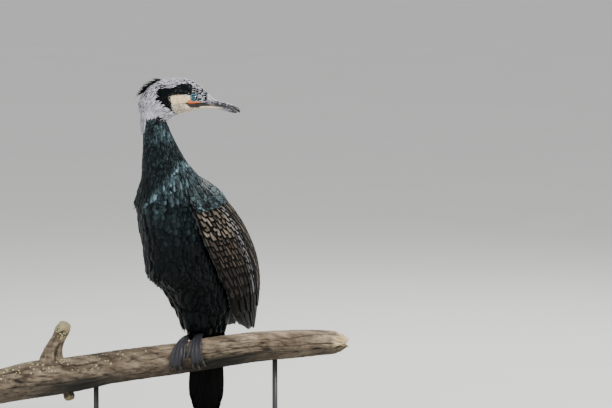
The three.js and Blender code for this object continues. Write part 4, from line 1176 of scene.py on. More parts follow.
    def crest(self, random, black):
        """Shaggy black locks from the back of the crown, bent by the breeze."""
        locks, n, m = CREST_LOCKS, 9, 3
        t, w = np.linspace(0, 1, n)[None, :, None], np.linspace(-1, 1, m)[None, None]
        place = random.uniform(0, 1, (locks, 1, 1))
        s = 0.017 - 0.036 * place
        top = smooth(HEAD, 1, s)
        side = 0.0042 * random.normal(0, 1, (locks, 1, 1))
        z = top - 0.0012 - 12 * side**2
        length = (CREST_LENGTH + 0.004 * np.sin(np.pi * place)) * random.uniform(0.65, 1.25, (locks, 1, 1))
        rise = 0.16 - 0.45 * place + 0.20 * random.normal(0, 1, (locks, 1, 1))
        sway = 0.22 * random.normal(0, 1, (locks, 1, 1))
        width = (0.0031 * random.uniform(0.7, 1.3, (locks, 1, 1)) * (1 - t)**0.55
                 * (0.5 + np.minimum(0.5, 2 * t)))
        grids = head_world(s - length * t, side + length * sway * t + width * w,
                           z + length * (rise * t - 0.30 * t * t) + 0.0006 * (1 - w * w) * (1 - t))
        grids = np.broadcast_to(grids, (locks, n, m, 3))
        roots = np.stack([0.5 + 30 * side[:, 0, 0], 0.1 + 0.8 * place[:, 0, 0]], -1)
        obj = plates("crest_locks", grids, LOCK_THICK, black, roots,
                     {"gloss": np.full(locks, 0.05), "tone": random.uniform(0, 0.6, locks),
                      "pale": np.zeros(locks)})
        keep(obj, ("crest",))


def vane_tier(random, side, start, end, count, v0, v1, root, tip, overlap=0.72, n=9, m=7, tilt=0.0011,
              shake=0.0, taper=0.7):
    """One tier of a wing's feathers: vanes, their places on the unwrap, and their roots along and across."""
    pitch = (v1 - v0) / count
    v = v0 + pitch * (np.arange(count) + 0.5 + 0.30 * random.uniform(-1, 1, count))[:, None, None]
    reach = end + (end - start) * random.uniform(-0.10, 0.08, count)[:, None, None]
    t, w = np.linspace(0, 1, n)[None, :, None], np.linspace(-1, 1, m)[None, None]
    begin = start + shake * random.uniform(-1, 1, count)[:, None, None]
    u = begin + (reach - begin) * t
    wide = overlap * random.uniform(0.88, 1.12, count)[:, None, None]
    at = np.clip(v + w * pitch * wide * vane_share(t, taper), 0.008, 0.99)
    lift = (root + (tip - root) * t - tilt * w * np.minimum(1, 3 * t) + 0.0007 * (1 - np.abs(w)) - 0.0006
            * t**4)
    grids = wing_point(np.broadcast_to(u, at.shape), at, 1.0, np.broadcast_to(lift, at.shape), side)
    roots = np.stack([0.03 + 0.94 * v[:, 0, 0], np.full(count, 0.03 + 0.9 * np.clip(start, 0, 1))], -1)
    return grids, roots, u[:, 0, 0], v[:, 0, 0]


class CORMORANT_OT_wings(bpy.types.Operator):
    """Lay the coverts, scapulars and flight feathers on both folded wings"""

    bl_idname = "cormorant.wings"
    bl_label = "Wings"

    def mantle(self, random, material):
        """Feathers of the mantle, laid across the back between the wings."""
        grids, roots = [], []
        t, w = np.linspace(0, 1, 9)[:, None], np.linspace(-1, 1, 7)[None]
        pitch = MANTLE["pitch"]
        for row, z0 in enumerate(np.arange(MANTLE["top"], MANTLE["low"], -MANTLE["row"])):
            half = 0.036 - 0.022 * float(ease(z0, 0.475, MANTLE["top"]))
            for x0 in np.arange(-half + pitch / 2 * (row % 2), half + 0.0005, pitch):
                wide = MANTLE["half_width"] * vane_share(t) * ease(z0, 0.60, 0.48)
                x = x0 + random.normal(0, 0.0006) + w * wide
                z = z0 + random.normal(0, 0.0012) - MANTLE["length"] * t
                lift = 0.0014 + 0.0036 * t + 0.0007 * (1 - np.abs(w)) - 0.0009 * w
                y = smooth(BACK_LINE, 1, z) - 6 * x * x + lift
                grids.append(np.stack(np.broadcast_arrays(x, y, z), -1))
                roots.append((0.5 + 9 * x0, 0.1 + 3 * (z0 - 0.27)))
        count = len(grids)
        # Faint random painted glints on the mantle feathers.
        obj = plates("mantle_feathers", np.array(grids), VANE_THICK, material, np.array(roots),
                     {"tone": random.uniform(0, 0.7, count), "sheen": 0.1 * random.uniform(0, 1, count)})
        keep(obj)

    def cape(self, name, side, random, material):
        """Body feathers that run from the neck's foot over the wing's top edge."""
        grids, roots = [], []
        t, w = np.linspace(0, 1, 8)[:, None], np.linspace(-1, 1, 5)[None]
        for row in range(CAPE_ROWS):
            for v in np.linspace(0.03 + 0.018 * (row % 2), 0.985, CAPE_FEATHERS):
                edge, over = wing_point(0.0, v, 1.0, 0.0034), wing_point(0.050, v, 1.0, 0.0040)
                z = edge[2] + 0.026
                middle = float(smooth(BODY, 1, z))
                root = body_point(z, math.atan2(edge[1] - middle, edge[0]), -0.0005)
                out = unit(np.array([edge[0], edge[1] - middle, 0.03]))
                u = 0.15 * row + 0.27 * t * random.uniform(0.85, 1.15)
                line = root * (2 * u - 1) * (u - 1) + edge * 4 * u * (1 - u) + over * u * (2 * u - 1)
                line = line + out * (-0.0006 + 0.0020 * t)
                beside = unit(wing_point(0.02, v + 0.01, 1.0, 0.0036)
                              - wing_point(0.02, v - 0.01, 1.0, 0.0036))
                wide = 0.0040 * random.uniform(0.85, 1.2)
                sway = random.normal(0, 0.0010) * (1 + t)
                grid = line[:, None] + (w * wide * vane_share(t, 0.5) + sway)[..., None] * beside
                grid = grid - out * (0.0007 * w * w)[..., None]
                grids.append(grid * np.array([side, 1, 1]))
                roots.append((0.04 + 0.92 * v, 0.1 + 0.14 * row))
        count = len(grids)
        # Random gloss per cape feather: partly the plumage's own blue-green, partly painted glints.
        obj = plates(name, np.array(grids), CAPE_THICK, material, np.array(roots),
                     {"tone": random.uniform(0, 1, count), "gloss": 0.6 * random.uniform(0.1, 1, count)**2,
                      "pale": np.zeros(count)})
        keep(obj)

    def lay(self, name, side, tiers, material, random, replaced=(), sheen=0.0):
        """Lays tiers of coverts or scapulars as one piece, with a painted highlight strip along the wing's
        middle.
        """
        grids, roots, marks = [], [], []
        for tier in tiers:
            vanes, places, reach, across = vane_tier(random, side, **tier)
            # Painted highlight: a pale strip along the wing's middle where the light catches it, and faint
            # random glints on every feather.
            highlight_strip = np.exp(-((across - 0.43) / 0.045)**2) * ease(reach, 0.55, 0.40)
            marks.append(np.clip(sheen * highlight_strip + 0.06 * random.uniform(0, 1, len(reach)), 0, 1))
            grids.append(vanes)
            roots.append(places)
        grids = np.concatenate(grids)
        obj = plates(name, grids, VANE_THICK, material, np.concatenate(roots),
                     {"tone": random.uniform(0, 1, len(grids)), "sheen": np.concatenate(marks)})
        keep(obj, replaced)

    def execute(self, context):
        sizes = context.scene.cormorant_sizes
        colours = context.scene.cormorant_colours
        random = np.random.default_rng(sizes.seed)
        coverts = quill_material("bronze wing coverts", (srgb("#2a2520"), colours.bronze), "#040404", 0.10,
                                 0.56)
        middling = quill_material("dark bronze coverts", (srgb("#1b1714"), srgb("#4c4238")), "#040404", 0.14,
                                  0.56)
        long = quill_material("long dark coverts", (srgb("#0e0c0a"), srgb("#2b241f")), "#040404", 0.16, 0.62)
        back = quill_material("bronze scapulars", (srgb("#201c18"), srgb("#5c5349")), "#040404", 0.20, 0.58)
        flight = quill_material("black flight feathers", (srgb("#050505"), srgb("#0b0a0a")), "#030303", 0.06,
                                0.88)
        plumage = plumage_material(colours)
        small = [{"start": -0.02 + 0.024 * k, "end": 0.040 + 0.027 * k, "count": 8,
                  "v0": 0.02 + 0.030 * (k % 2),
                  "v1": 0.56 + 0.036 * (k % 2), "root": 0.0004, "tip": 0.0031, "shake": 0.008, "taper": 0.42}
                 for k in range(8)]
        middle = [{"start": 0.17 + 0.036 * k, "end": 0.265 + 0.044 * k, "count": 13,
                   "v0": 0.0 + 0.020 * (k % 2),
                   "v1": 0.58 + 0.020 * (k % 2), "root": 0.0003, "tip": 0.0030, "shake": 0.014, "taper": 0.6}
                  for k in range(5)]
        great = [{"start": 0.32, "end": 0.52, "count": 15, "v0": 0.0, "v1": 0.66, "root": 0.0002,
                  "tip": 0.0030, "n": 13},
                 {"start": 0.37, "end": 0.60, "count": 14, "v0": 0.0, "v1": 0.74, "root": 0.0, "tip": 0.0028,
                  "n": 13},
                 {"start": 0.43, "end": 0.69, "count": 13, "v0": 0.02, "v1": 0.82, "root": -0.0002,
                  "tip": 0.0026, "n": 13}]
        shoulder = [{"start": -0.02 + 0.050 * k, "end": 0.066 + 0.060 * k, "count": 6,
                     "v0": 0.525 + 0.035 * (k % 2),
                     "v1": 0.955 + 0.02 * (k % 2), "root": 0.0018, "tip": 0.0042 - 0.00010 * k,
                     "shake": 0.012,
                     "overlap": 0.80, "taper": 0.6} for k in range(11)]
        quills = [{"start": 0.50, "end": 0.80, "count": 9, "v0": 0.03, "v1": 0.94, "root": -0.0006,
                   "tip": 0.0030, "n": 14},
                  {"start": 0.62, "end": 1.0, "count": 9, "v0": 0.04, "v1": 0.94, "root": -0.0012,
                   "tip": 0.0018, "n": 16}]
        self.mantle(random, back)
        for side, word in SIDES:
            self.lay(f"coverts_{word}", side, small, coverts, random, (f"wing_coverts_{word}",), 0.6)
            self.lay(f"middle_coverts_{word}", side, middle, middling, random, sheen=0.6)
            self.cape(f"shoulder_cape_{word}", side, random, plumage)
            self.lay(f"long_coverts_{word}", side, great, long, random, sheen=0.5)
            self.lay(f"shoulder_feathers_{word}", side, shoulder, back, random, (f"scapulars_{word}",), 0.1)
            pieces = [vane_tier(random, side, **tier)[:2] for tier in quills]
            for name, (grids, roots) in zip(("secondaries", "primaries"), pieces):
                obj = plates(f"{name}_{word}", grids, VANE_THICK, flight, roots,
                             {"tone": random.uniform(0, 1, len(grids)), "sheen": np.zeros(len(grids))})
                keep(obj, (f"wing_flight_{word}",))
        return {"FINISHED"}


class CORMORANT_OT_tail(bpy.types.Operator):
    """Lay the stiff tail quills and the feathers over their roots"""

    bl_idname = "cormorant.tail"
    bl_label = "Tail"

    def execute(self, context):
        sizes = context.scene.cormorant_sizes
        random = np.random.default_rng(sizes.seed)
        across = np.array([math.cos(TAIL["twist"]), math.sin(TAIL["twist"]), 0])
        through = np.array([-math.sin(TAIL["twist"]), math.cos(TAIL["twist"]), 0])
        root, tip = np.array(TAIL["root"]), np.array(TAIL["tip"])
        material = quill_material("black tail quills", (srgb("#050505"), srgb("#0c0b0c")), "#040404", 0.10,
                                  0.92)
        t, w = np.linspace(0, 1, 16)[:, None], np.linspace(-1, 1, 7)[None]
        half = (TAIL["quills"] - 1) / 2
        narrow = 0.4 * TAIL["root_width"]
        spread = (TAIL["width"] - TAIL["vane"]) / 2 - narrow
        grids, roots = [], []
        for layer, (begin, cut, off) in enumerate(((0.10, 1.0, 0.0), (0.0, 0.46, 0.0035),
                                                   (0.0, 0.46, -0.0035))):
            for k in np.arange(TAIL["quills"]) - half:
                share = k / half
                reach = cut * (1 - 0.2 * share**2 + random.uniform(-0.008, 0.008))
                middle = share * (narrow + spread * t)
                step = TAIL["step"] * (half / 2 - abs(k)) + off * (1 - 0.8 * t)
                ridge = 0.0006 * (1 - np.abs(w)) * vane_share(t)
                centre = root + (tip - root) * (begin + (reach - begin) * t)[..., None]
                grids.append(centre + (middle + w * TAIL["vane"] / 2 * vane_share(t))[..., None] * across
                             + (step + ridge)[..., None] * through)
                roots.append((0.5 + 0.45 * share, 0.2 + 0.3 * layer))
        count = len(grids)
        obj = plates("tail_quills", np.array(grids), VANE_THICK, material, np.array(roots),
                     {"tone": random.uniform(0, 1, count), "sheen": np.zeros(count)})
        keep(obj, ("tail",))
        return {"FINISHED"}


class CORMORANT_OT_bill(bpy.types.Operator):
    """Build the hooked upper bill and the lower bill"""

    bl_idname = "cormorant.bill"
    bl_label = "Bill"

    def execute(self, context):
        material = bill_material(context.scene.cormorant_colours)
        angle = np.linspace(0, 2 * np.pi, 48, endpoint=False)[None]
        height = np.sin(angle)
        for name, table, replaced in (("upper_bill", BILL_UPPER, "bill_upper"),
                                      ("lower_bill", BILL_LOWER, "bill_lower")):
            s = np.linspace(table[0, 0], table[-1, 0], 120)[:, None]
            upper = name == "upper_bill"
            groove = (-0.0008 * np.exp(-((height - 0.38) / 0.13)**2) * upper
                      * ease(s, 0.098, 0.106) * ease(0.152 - s, 0, 0.006))
            rough = 0.00018 * np.sin(900 * s + 4 * np.sin(3 * angle)) * np.clip(height, 0, 1) * upper
            rings = head_point(s, angle, groove + rough, table)
            plate = 0.0003 * np.exp(-((s - 0.113) / 0.0015)**2) * upper
            rings += plate[..., None] * np.array([0, 0, 1])
            points, faces = loft(rings)
            shape = (len(s), angle.shape[1])
            ridge = np.broadcast_to(ease(height, 0.25, 0.95), shape)
            tip = np.broadcast_to(ease(s, 0.136, 0.158), shape)
            along = ease(s, 0.102, 0.124) * np.ones(shape)
            dark = (np.maximum(0.72 * along - 0.16 * ridge * along, 0.85 * tip) if upper else 0.75 * tip
                    + 0.35 * (1 - ridge))
            cream = np.broadcast_to((0.0 if upper else 0.9) * (1 - ease(s, 0.108, 0.138)), shape)
            dark = dark * (1.0 if upper else ease(s, 0.116, 0.136))
            obj = mesh_object(name, points, faces, material,
                              marks={"dark": dark.ravel(), "cream": cream.ravel()})
            keep(obj, (replaced,))
        return {"FINISHED"}


def bead_tree():
    """Geometry Nodes: beads set evenly along a closed curve, each a little different."""
    tree, add, given = node_group("Lid beads", {"Beads": "Int", "Bead radius": "Float", "Finish": "Material",
                                           "Seed": "Int"})
    curve = add("GeometryNodeMeshToCurve", {"Mesh": given["Geometry"]})
    even = add("GeometryNodeResampleCurve", {"Curve": curve, "Count": given["Beads"]})
    bead = add("GeometryNodeMeshIcoSphere", {"Radius": given["Bead radius"], "Subdivisions": 2})
    size = add("FunctionNodeRandomValue", {2: 0.8, 3: 1.15, "Seed": given["Seed"]}, data_type="FLOAT")
    placed = add("GeometryNodeInstanceOnPoints", {
        "Points": even, "Instance": bead.outputs["Mesh"], "Scale": size.outputs[1],
    })
    real = add("GeometryNodeRealizeInstances", {"Geometry": placed})
    finished = add("GeometryNodeSetMaterial", {"Geometry": real, "Material": given["Finish"]})
    add("NodeGroupOutput", {"Geometry": finished})
    return tree


class CORMORANT_OT_eyes(bpy.types.Operator):
    """Build the eyeballs, the lids and the beads along the lids"""

    bl_idname = "cormorant.eyes"
    bl_label = "Eyes"

    def execute(self, context):
        sizes = context.scene.cormorant_sizes
        eyeball, beads = eye_material(context.scene.cormorant_colours), bead_tree()
        blue = plain_skin_material("blue lid beads", srgb("#2f86a8"), srgb("#8fd0de"), 1800, 0.0002, 0.35)
        lid = plain_skin_material("dark lid skin", srgb("#18323a"), srgb("#2b5560"), 1400, 0.0003)
        up = np.array([0, 0, 1])
        turn = np.linspace(0, 2 * np.pi, 72, endpoint=False)[:, None]
        around = LID["stretch"] * np.cos(turn) * head_ahead + np.sin(turn) * up
        for side, word in ((-1, "left"), (1, "right")):
            outward = side * head_right
            centre = head_world(EYE["reach"], side * EYE["side"], EYE["z"])
            points, faces = ball(centre, EYE["r"], 40, 30)
            facing = unit(points - centre) @ outward
            ring = np.degrees(np.arccos(np.clip(facing, -1, 1))) / CORNEA["iris_degrees"]
            points = points + outward * (CORNEA["bulge"] * np.exp(-(ring / 0.8)**2))[:, None]
            obj = mesh_object(f"eyeball_{word}", points, faces, eyeball, marks={"iris": ring})
            keep(obj, (f"eye_{word}",))
            points, faces = self.lid(centre, outward, LID["radius"] * around)
            keep(mesh_object(f"lid_{word}", points, faces, lid))
            loop = centre + outward * LID_BEADS["out"] + LID_BEADS["ring"] * around
            mesh = bpy.data.meshes.new(f"lid_beads_{word}")
            mesh.from_pydata(loop.tolist(), [(i, (i + 1) % len(loop)) for i in range(len(loop))], [])
            obj = bpy.data.objects.new(mesh.name, mesh)
            bpy.context.scene.collection.objects.link(obj)
            run_group(obj, "Beads", beads, {
                "Beads": LID_BEADS["count"], "Bead radius": LID_BEADS["size"], "Finish": blue,
                "Seed": sizes.seed,
            })
            keep(obj)
        return {"FINISHED"}

    def lid(self, centre, outward, around):
        """A round ring of skin along the eye's edge."""
        away = unit(around)[:, None]
        b = np.linspace(0, 2 * np.pi, 12, endpoint=False)[None, :, None]
        section = LID["thick"] * (np.cos(b) * away + np.sin(b) * outward)
        rings = (centre + outward * LID["out"] + around)[:, None] + section
        count, width = rings.shape[:2]
        faces = [(i * width + j, i * width + (j + 1) % width, ((i + 1) % count) * width + (j + 1) % width,
                  ((i + 1) % count) * width + j) for i in range(count) for j in range(width)]
        return rings, faces


def heel_point(side, above=0.0):
    """The heel of a foot on the bark, or a place above it."""
    return bark_point(FEET_MIDDLE + side * HEEL["along"], math.radians(HEEL["round"]), HEEL["lift"] + above)


def toe_points(side, toe):
    """Points along a toe from heel to tip, over the bark."""
    along, turn, lift = toe
    t = np.linspace(0, 1, TOE_STEPS)
    place = FEET_MIDDLE + side * (HEEL["along"] + along * t**0.8)
    angle = np.radians(HEEL["round"] + (turn - HEEL["round"]) * t)
    return bark_point(place, angle, HEEL["lift"] + (lift - HEEL["lift"]) * np.minimum(1, 2.5 * t) + 0.0003)


def bark_axis(p):
    """The points of the branch's middle line beside the given points."""
    along = p @ branch_direction
    axis = along[..., None] * branch_direction
    axis[..., 2] = smooth(BRANCH, 1, along)
    return axis


class CORMORANT_OT_feet(bpy.types.Operator):
    """Build the webbed feet draped over the branch, the tarsi and the claws"""

    bl_idname = "cormorant.feet"
    bl_label = "Feet"

    def foot(self, side):
        """Toes with knuckles and pads, joined by thin pleated webs."""
        paths = [toe_points(side, toe) for toe in TOES]
        t = np.linspace(0, 1, TOE_STEPS)
        knuckle = 1 + 0.16 * np.maximum(0, np.sin(2 * np.pi * 3.2 * t + 0.6))**2
        parts = []
        for path in paths:
            out = unit(path - bark_axis(path))
            radius = TOE_RADIUS[0] + (TOE_RADIUS[1] - TOE_RADIUS[0]) * t
            parts.append(tube(path, radius * knuckle, 16, 0.9, up=out[TOE_STEPS // 2]))
        a = np.linspace(0, 2 * np.pi, 40, endpoint=False)
        across = (1 - np.cos(a)) / 2
        for first, second in zip(paths, paths[1:]):
            rows = []
            for reach in np.linspace(0.08, 0.985, 30):
                at = reach * (1 - 0.08 * np.sin(np.pi * across) * reach)
                i = at * (len(t) - 1)
                low = np.clip(i.astype(int), 0, len(t) - 2)
                f = (i - low)[:, None]
                p = ((first[low] * (1 - f) + first[low + 1] * f) * (1 - across)[:, None]
                     + (second[low] * (1 - f) + second[low + 1] * f) * across[:, None])
                out = unit(p - bark_axis(p))
                pleat = 0.0006 * np.sin(across * np.pi * 6) * np.sin(np.pi * across) * reach
                rows.append(p + out * (0.0010 * np.sin(a) + 0.0004 + pleat)[:, None])
            parts.append(loft(np.array(rows)))
        parts.append(ball(heel_point(side), ANKLE_RADIUS, 24, 16))
        return joined(parts)

    def execute(self, context):
        colours = context.scene.cormorant_colours
        skin = plain_skin_material("webbed foot skin", srgb("#121217"), colours.foot, 700, 0.0006, 0.40)
        horn = claw_material()
        for side, word in SIDES:
            obj = mesh_object(f"webbed_foot_{word}", *self.foot(side), skin)
            join_forms(obj, FOOT_GRID, FOOT_RELAX)
            shade_smooth(obj.data)
            keep(obj, (f"foot_{word}",))
            heel = heel_point(side)
            top = np.array(TARSUS_TOP) * np.array([side, 1, 1])
            t = np.linspace(0, 1, 60)
            ridges = 1 + 0.03 * np.abs(np.sin(40 * t)) + 0.02 * np.sin(95 * t)
            points, faces = tube(heel + (top - heel) * t[:, None], (0.0042 + 0.0012 * t) * ridges, 24, 1.15)
            keep(mesh_object(f"scaled_tarsus_{word}", points, faces, skin), (f"tarsus_{word}",))
            claws = []
            for toe in TOES:
                path = toe_points(side, toe)
                end, forward = path[-1], unit(path[-1] - path[-3])
                out = unit(end - bark_axis(end))
                t = np.linspace(0, 1, 14)[:, None]
                hook = out * (0.0022 * np.sin(np.pi * t) - 0.0026 * t * t)
                line = end + forward * (CLAW["length"] * t - CLAW["set_back"]) + hook
                claws.append(tube(line, CLAW["radius"] * (1 - t[:, 0])**0.7 + 0.0002, 12, 1.2, up=out))
            keep(mesh_object(f"claws_{word}", *joined(claws), horn))
        return {"FINISHED"}


def scatter_tree():
    """Geometry Nodes: small crusts scattered over a surface, turned to it, few and uneven."""
    tree, add, given = node_group("Lichen crusts",
                                  {"Density": "Float", "Crust radius": "Float", "Finish": "Material",
                                   "Seed": "Int"})
    bare = add("GeometryNodeInputNamedAttribute", {"Name": "lichen"}, data_type="FLOAT")
    amount = add("ShaderNodeMath", {0: bare, 1: given["Density"]}, operation="MULTIPLY")
    spots = add("GeometryNodeDistributePointsOnFaces", {
        "Mesh": given["Geometry"], "Density": amount, "Seed": given["Seed"],
    })
    crust = add("GeometryNodeMeshIcoSphere", {"Radius": given["Crust radius"], "Subdivisions": 2})
    size = add("FunctionNodeRandomValue", {0: (0.5, 0.5, 0.22), 1: (1.6, 1.3, 0.4), "Seed": given["Seed"]},
               data_type="FLOAT_VECTOR")
    placed = add("GeometryNodeInstanceOnPoints", {
        "Points": spots.outputs["Points"], "Instance": crust.outputs["Mesh"],
        "Rotation": spots.outputs["Rotation"],
        "Scale": size,
    })
    real = add("GeometryNodeRealizeInstances", {"Geometry": placed})
    finished = add("GeometryNodeSetMaterial", {"Geometry": real, "Material": given["Finish"]})
    add("NodeGroupOutput", {"Geometry": finished})
    return tree


def bark_height(p, along, angle):
    """Height of the weathered surface, and how deep a crack is there, at one point of the branch."""
    stretch = Vector((along * 5.5, math.cos(angle) * 2.1, math.sin(angle) * 2.1))
    fine = Vector((along * 15, math.cos(angle) * 7, math.sin(angle) * 7))
    ridge = 1 - abs(noise.noise(stretch * 1.6)) * 2
    crack = max(0.0, ridge - 0.84) / 0.16
    twist = 1 - abs(noise.noise(fine)) * 2
    slit = max(0.0, twist - 0.84) / 0.16
    height = (0.0016 * noise.noise(stretch) + 0.0007 * noise.noise(fine * 1.7) - 0.0030 * crack - 0.0011
              * slit)
    return height + 0.0005 * noise.noise(Vector(p) * 240), min(1.0, 0.9 * crack + 0.55 * slit)


class CORMORANT_OT_branch(bpy.types.Operator):
    """Build the weathered branch with its broken stubs, splinters and lichen"""

    bl_idname = "cormorant.branch"
    bl_label = "Branch"

    def limb(self):
        """The branch itself: rings of points with their marks."""
        s = np.concatenate([np.linspace(BRANCH[0, 0], 0.290, LIMB_RINGS),
                            np.linspace(0.2925, BRANCH[-1, 0] - 0.001, END_RINGS)])
        angle = np.linspace(0, 2 * np.pi, LIMB_SIDES, endpoint=False)
        p = bark_point(s[:, None], angle[None], 0)
        axis = bark_axis(p)
        lift, crack = np.zeros(p.shape[:2]), np.zeros(p.shape[:2])
        for i, along in enumerate(s):
            for j, a in enumerate(angle):
                lift[i, j], crack[i, j] = bark_height(p[i, j], along, a)
        broken = ease(s, 0.285, 0.312)[:, None]
        jag = np.array([noise.noise(Vector((math.cos(a) * 3, math.sin(a) * 3, 5))) for a in angle])
        p = (p + unit(p - axis) * lift[..., None] - branch_direction
             * (0.016 * broken * (0.5 + jag))[..., None])
        top = np.sin(angle)[None]
        # Darker toward the underside of the branch.
        damp = ease(-top, -0.20, 0.55) * (0.75 + 0.25 * np.sin(22 * s[:, None]))
        fresh = np.maximum(broken, ease(-s, 0.3885, 0.3888)[:, None]) * np.ones_like(top)
        lichen = 0.15 * ease(top, 0.0, 0.8) * ease(-s, 0.05, 0.30)[:, None]
        return loft(p), {"crack": crack * (1 - fresh), "damp": damp, "fresh": fresh, "lichen": lichen}

    def stub(self, points, low, high):
        """A broken side shoot and its marks."""
        t = np.linspace(0, 1, STUB_RINGS)
        centres = Path(points).at(t)
        radius = (low + (high - low) * t) * (1 + 0.15 * np.sin(9 * t)) * MM
        shape, faces = tube(centres, radius, STUB_SIDES)
        middle = np.repeat(centres, STUB_SIDES, axis=0)
        angle = np.tile(np.linspace(0, 2 * np.pi, STUB_SIDES, endpoint=False), STUB_RINGS)
        height = np.array([bark_height(p, p[2], a) for p, a in zip(shape, angle)])
        shape = shape + unit(shape - middle) * height[:, :1] * 1.2
        rows = np.repeat(t, STUB_SIDES)
        marks = {"crack": height[:, 1] * (1 - ease(rows, 0.85, 0.95)), "damp": np.zeros(len(shape)),
                 "fresh": ease(rows, 0.8, 0.95) * 0.8, "lichen": ease(rows, 0.55, 0.8)}
        return (shape, faces), marks

    def splinter(self, random):
        """One flat splinter of the branch's broken end."""
        up = np.array([0, 0, 1])
        a = random.uniform(0, 2 * np.pi)
        r = random.uniform(0.1, 0.95)
        start = bark_axis(np.array([branch_direction * random.uniform(0.286, 0.300)]))[0]
        start = start + (branch_side * math.cos(a) + up * math.sin(a)) * 0.0135 * r
        length = random.uniform(0.010, 0.024) * (1.1 - 0.5 * r)
        t = np.linspace(0, 1, 6)[:, None]
        lean = branch_side * random.normal(0, 0.08) + up * (random.normal(0, 0.08) - 0.06)
        line = start + (branch_direction + lean * t) * length * t
        return tube(line, random.uniform(0.0010, 0.0026) * (1.02 - t[:, 0]), 6, 0.5)

    def execute(self, context):
        sizes = context.scene.cormorant_sizes
        random = np.random.default_rng(sizes.seed)
        limb, limb_marks = self.limb()
        upper, upper_marks = self.stub(UPPER_STUB, 24, 9)
        lower, lower_marks = self.stub(LOWER_STUB, 17, 8)
        lower_marks["lichen"] = np.zeros(len(lower[0]))
        # The lower stub is darker all over.
        lower_marks["damp"] = np.full(len(lower[0]), 0.6)
        parts, marks = [limb, upper, lower], [limb_marks, upper_marks, lower_marks]
        for _ in range(SPLINTERS):
            splinter = self.splinter(random)
            parts.append(splinter)
            bare = np.zeros(len(splinter[0]))
            marks.append({"crack": bare, "damp": bare, "fresh": bare + random.uniform(0.5, 1),
                          "lichen": bare})
        together = {label: np.concatenate([np.ravel(m[label]) for m in marks]) for label in marks[0]}
        obj = mesh_object("weathered_branch", *joined(parts), wood_material(context.scene.cormorant_colours),
                          marks=together)
        crusts = obj.copy()
        crusts.data = obj.data.copy()
        crusts.name = "lichen_crusts"
        bpy.context.scene.collection.objects.link(crusts)
        keep(obj, ("perch_branch",))
        run_group(crusts, "Lichen", scatter_tree(), {
            "Density": LICHEN["density"], "Crust radius": LICHEN["radius"], "Finish": lichen_material(),
            "Seed": sizes.seed,
        })
        keep(crusts)
        return {"FINISHED"}


class CORMORANT_OT_stand(bpy.types.Operator):
    """Build the display stand: a flat base and two rods with collars"""

    bl_idname = "cormorant.stand"
    bl_label = "Stand"

    def execute(self, context):
        steel = stand_material()
        width, depth, height = BASE["size"]
        x, y = BASE["middle"]
        shape = bmesh.new()
        bmesh.ops.create_cube(shape, size=1)
        bmesh.ops.scale(shape, vec=(width, depth, height), verts=shape.verts)
        bmesh.ops.translate(shape, vec=(x, y, height / 2), verts=shape.verts)
        upright = [e for e in shape.edges if abs(e.verts[0].co.z - e.verts[1].co.z) > height / 2]
        bmesh.ops.bevel(shape, geom=upright, offset=0.014, segments=8, profile=0.5, affect="EDGES")
        rims = [e for e in shape.edges if abs(e.verts[0].co.z - e.verts[1].co.z) < 1e-6
                and len(e.link_faces) == 2
                and abs(e.link_faces[0].normal.z - e.link_faces[1].normal.z) > 0.5]
        bmesh.ops.bevel(shape, geom=rims, offset=0.002, segments=4, profile=0.5, affect="EDGES")
        mesh = bpy.data.meshes.new("steel_base")
        shape.to_mesh(mesh)
        shape.free()
        mesh.materials.append(steel)
        mesh.polygons.foreach_set("use_smooth", [abs(p.normal.z) < 0.99 for p in mesh.polygons])
        obj = bpy.data.objects.new("steel_base", mesh)
        bpy.context.scene.collection.objects.link(obj)
        keep(obj, ("stand_base",))
        for index, station in enumerate(ROD_STATIONS):
            foot = branch_direction * station
            top = float(smooth(BRANCH, 1, station)) - 0.002
            profile = [(1e-4, height), (0.0115, height), (0.0125, height + 0.001), (0.0125, height + 0.005),
                       (0.0115, height + 0.006), (0.0072, height + 0.0065), (0.0066, height + 0.012),
                       (ROD_RADIUS + 0.0003, height + 0.013), (ROD_RADIUS, height + 0.0145),
                       (ROD_RADIUS, top),
                       (1e-4, top)]
            turn = np.linspace(0, 2 * np.pi, 40, endpoint=False)
            rings = np.array([[foot + np.array([r * math.cos(a), r * math.sin(a), z]) for a in turn] for r,
                              z in profile])
            obj = mesh_object(f"steel_rod_{index + 1}", *loft(rings), steel)
            keep(obj, (f"stand_rod_{index + 1}",))
        return {"FINISHED"}


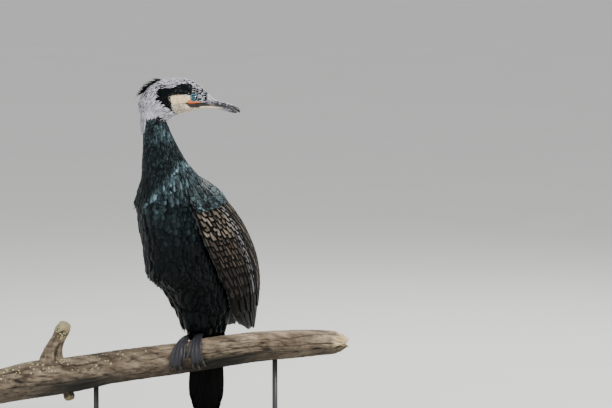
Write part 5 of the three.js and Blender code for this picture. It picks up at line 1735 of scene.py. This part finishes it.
class CORMORANT_OT_stage(bpy.types.Operator):
    """Set the floor, the soft lights and the camera"""

    bl_idname = "cormorant.stage"
    bl_label = "Stage"

    def lamp(self, name, place, width, power, colour):
        """One square soft lamp, turned to the bird."""
        light = bpy.data.lights.new(name, "AREA")
        light.shape, light.size, light.energy, light.color = "SQUARE", width, power, colour
        obj = bpy.data.objects.new(name, light)
        obj.location = place
        obj.rotation_euler = (Vector(LAMP_AIM) - place).to_track_quat("-Z", "Y").to_euler()
        bpy.context.scene.collection.objects.link(obj)

    def execute(self, context):
        corners = [(FLOOR_REACH * x, FLOOR_REACH * y, 0) for x, y in ((-1, -1), (1, -1), (1, 1), (-1, 1))]
        floor = mesh_object("studio_floor", corners, [(0, 1, 2, 3)], floor_material(), outward=False)
        toward = Vector((math.sin(CAMERA_AZIMUTH) * math.cos(CAMERA_ELEVATION),
                         -math.cos(CAMERA_AZIMUTH) * math.cos(CAMERA_ELEVATION), math.sin(CAMERA_ELEVATION)))
        camera = bpy.data.cameras.new("camera")
        camera.sensor_width = SENSOR_WIDTH
        camera.lens = SENSOR_WIDTH * CAMERA_DISTANCE / FRAME_WIDTH
        camera.clip_end = 200
        eye = bpy.data.objects.new("camera", camera)
        eye.location = Vector(CAMERA_AIM) + CAMERA_DISTANCE * toward
        eye.rotation_euler = (-toward).to_track_quat("-Z", "Y").to_euler()
        bpy.context.scene.collection.objects.link(eye)
        bpy.context.scene.camera = eye
        right = Vector((math.cos(CAMERA_AZIMUTH), math.sin(CAMERA_AZIMUTH), 0))
        for name, ahead, beside, above, width, power, colour in LAMPS:
            place = Vector(LAMP_AIM) + ahead * toward + beside * right + Vector((0, 0, above))
            self.lamp(name, place, width, power, colour)
        world = bpy.data.worlds.new("studio air")
        world.use_nodes = True
        world.node_tree.nodes["Background"].inputs["Color"].default_value = srgb("#dfe1e3")
        world.node_tree.nodes["Background"].inputs["Strength"].default_value = 1.0
        bpy.context.scene.world = world
        return {"FINISHED"}


class CORMORANT_PT_panel(bpy.types.Panel):
    """Sizes and pieces of the cormorant"""

    bl_idname = "CORMORANT_PT_panel"
    bl_label = "Cormorant"
    bl_space_type = "VIEW_3D"
    bl_region_type = "UI"
    bl_category = "Cormorant"

    def draw(self, context):
        for values in (context.scene.cormorant_sizes, context.scene.cormorant_colours):
            for name in type(values).__annotations__:
                self.layout.prop(values, name)
        for operator in PIECES:
            self.layout.operator(operator.bl_idname)


PIECES = (
    CORMORANT_OT_skin, CORMORANT_OT_body_coat, CORMORANT_OT_head_coat, CORMORANT_OT_wings, CORMORANT_OT_tail,
    CORMORANT_OT_bill, CORMORANT_OT_eyes, CORMORANT_OT_feet, CORMORANT_OT_branch, CORMORANT_OT_stand,
    CORMORANT_OT_stage,
)


def register():
    for made in (CormorantSizes, CormorantColours, *PIECES, CORMORANT_PT_panel):
        bpy.utils.register_class(made)
    bpy.types.Scene.cormorant_sizes = bpy.props.PointerProperty(type=CormorantSizes)
    bpy.types.Scene.cormorant_colours = bpy.props.PointerProperty(type=CormorantColours)


def unregister():
    del bpy.types.Scene.cormorant_colours
    del bpy.types.Scene.cormorant_sizes
    for made in reversed((CormorantSizes, CormorantColours, *PIECES, CORMORANT_PT_panel)):
        bpy.utils.unregister_class(made)


def main():
    """Registers the add-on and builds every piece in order."""
    register()
    for operator in PIECES:
        group, name = operator.bl_idname.split(".")
        getattr(getattr(bpy.ops, group), name)()


if __name__ == "__main__":
    main()
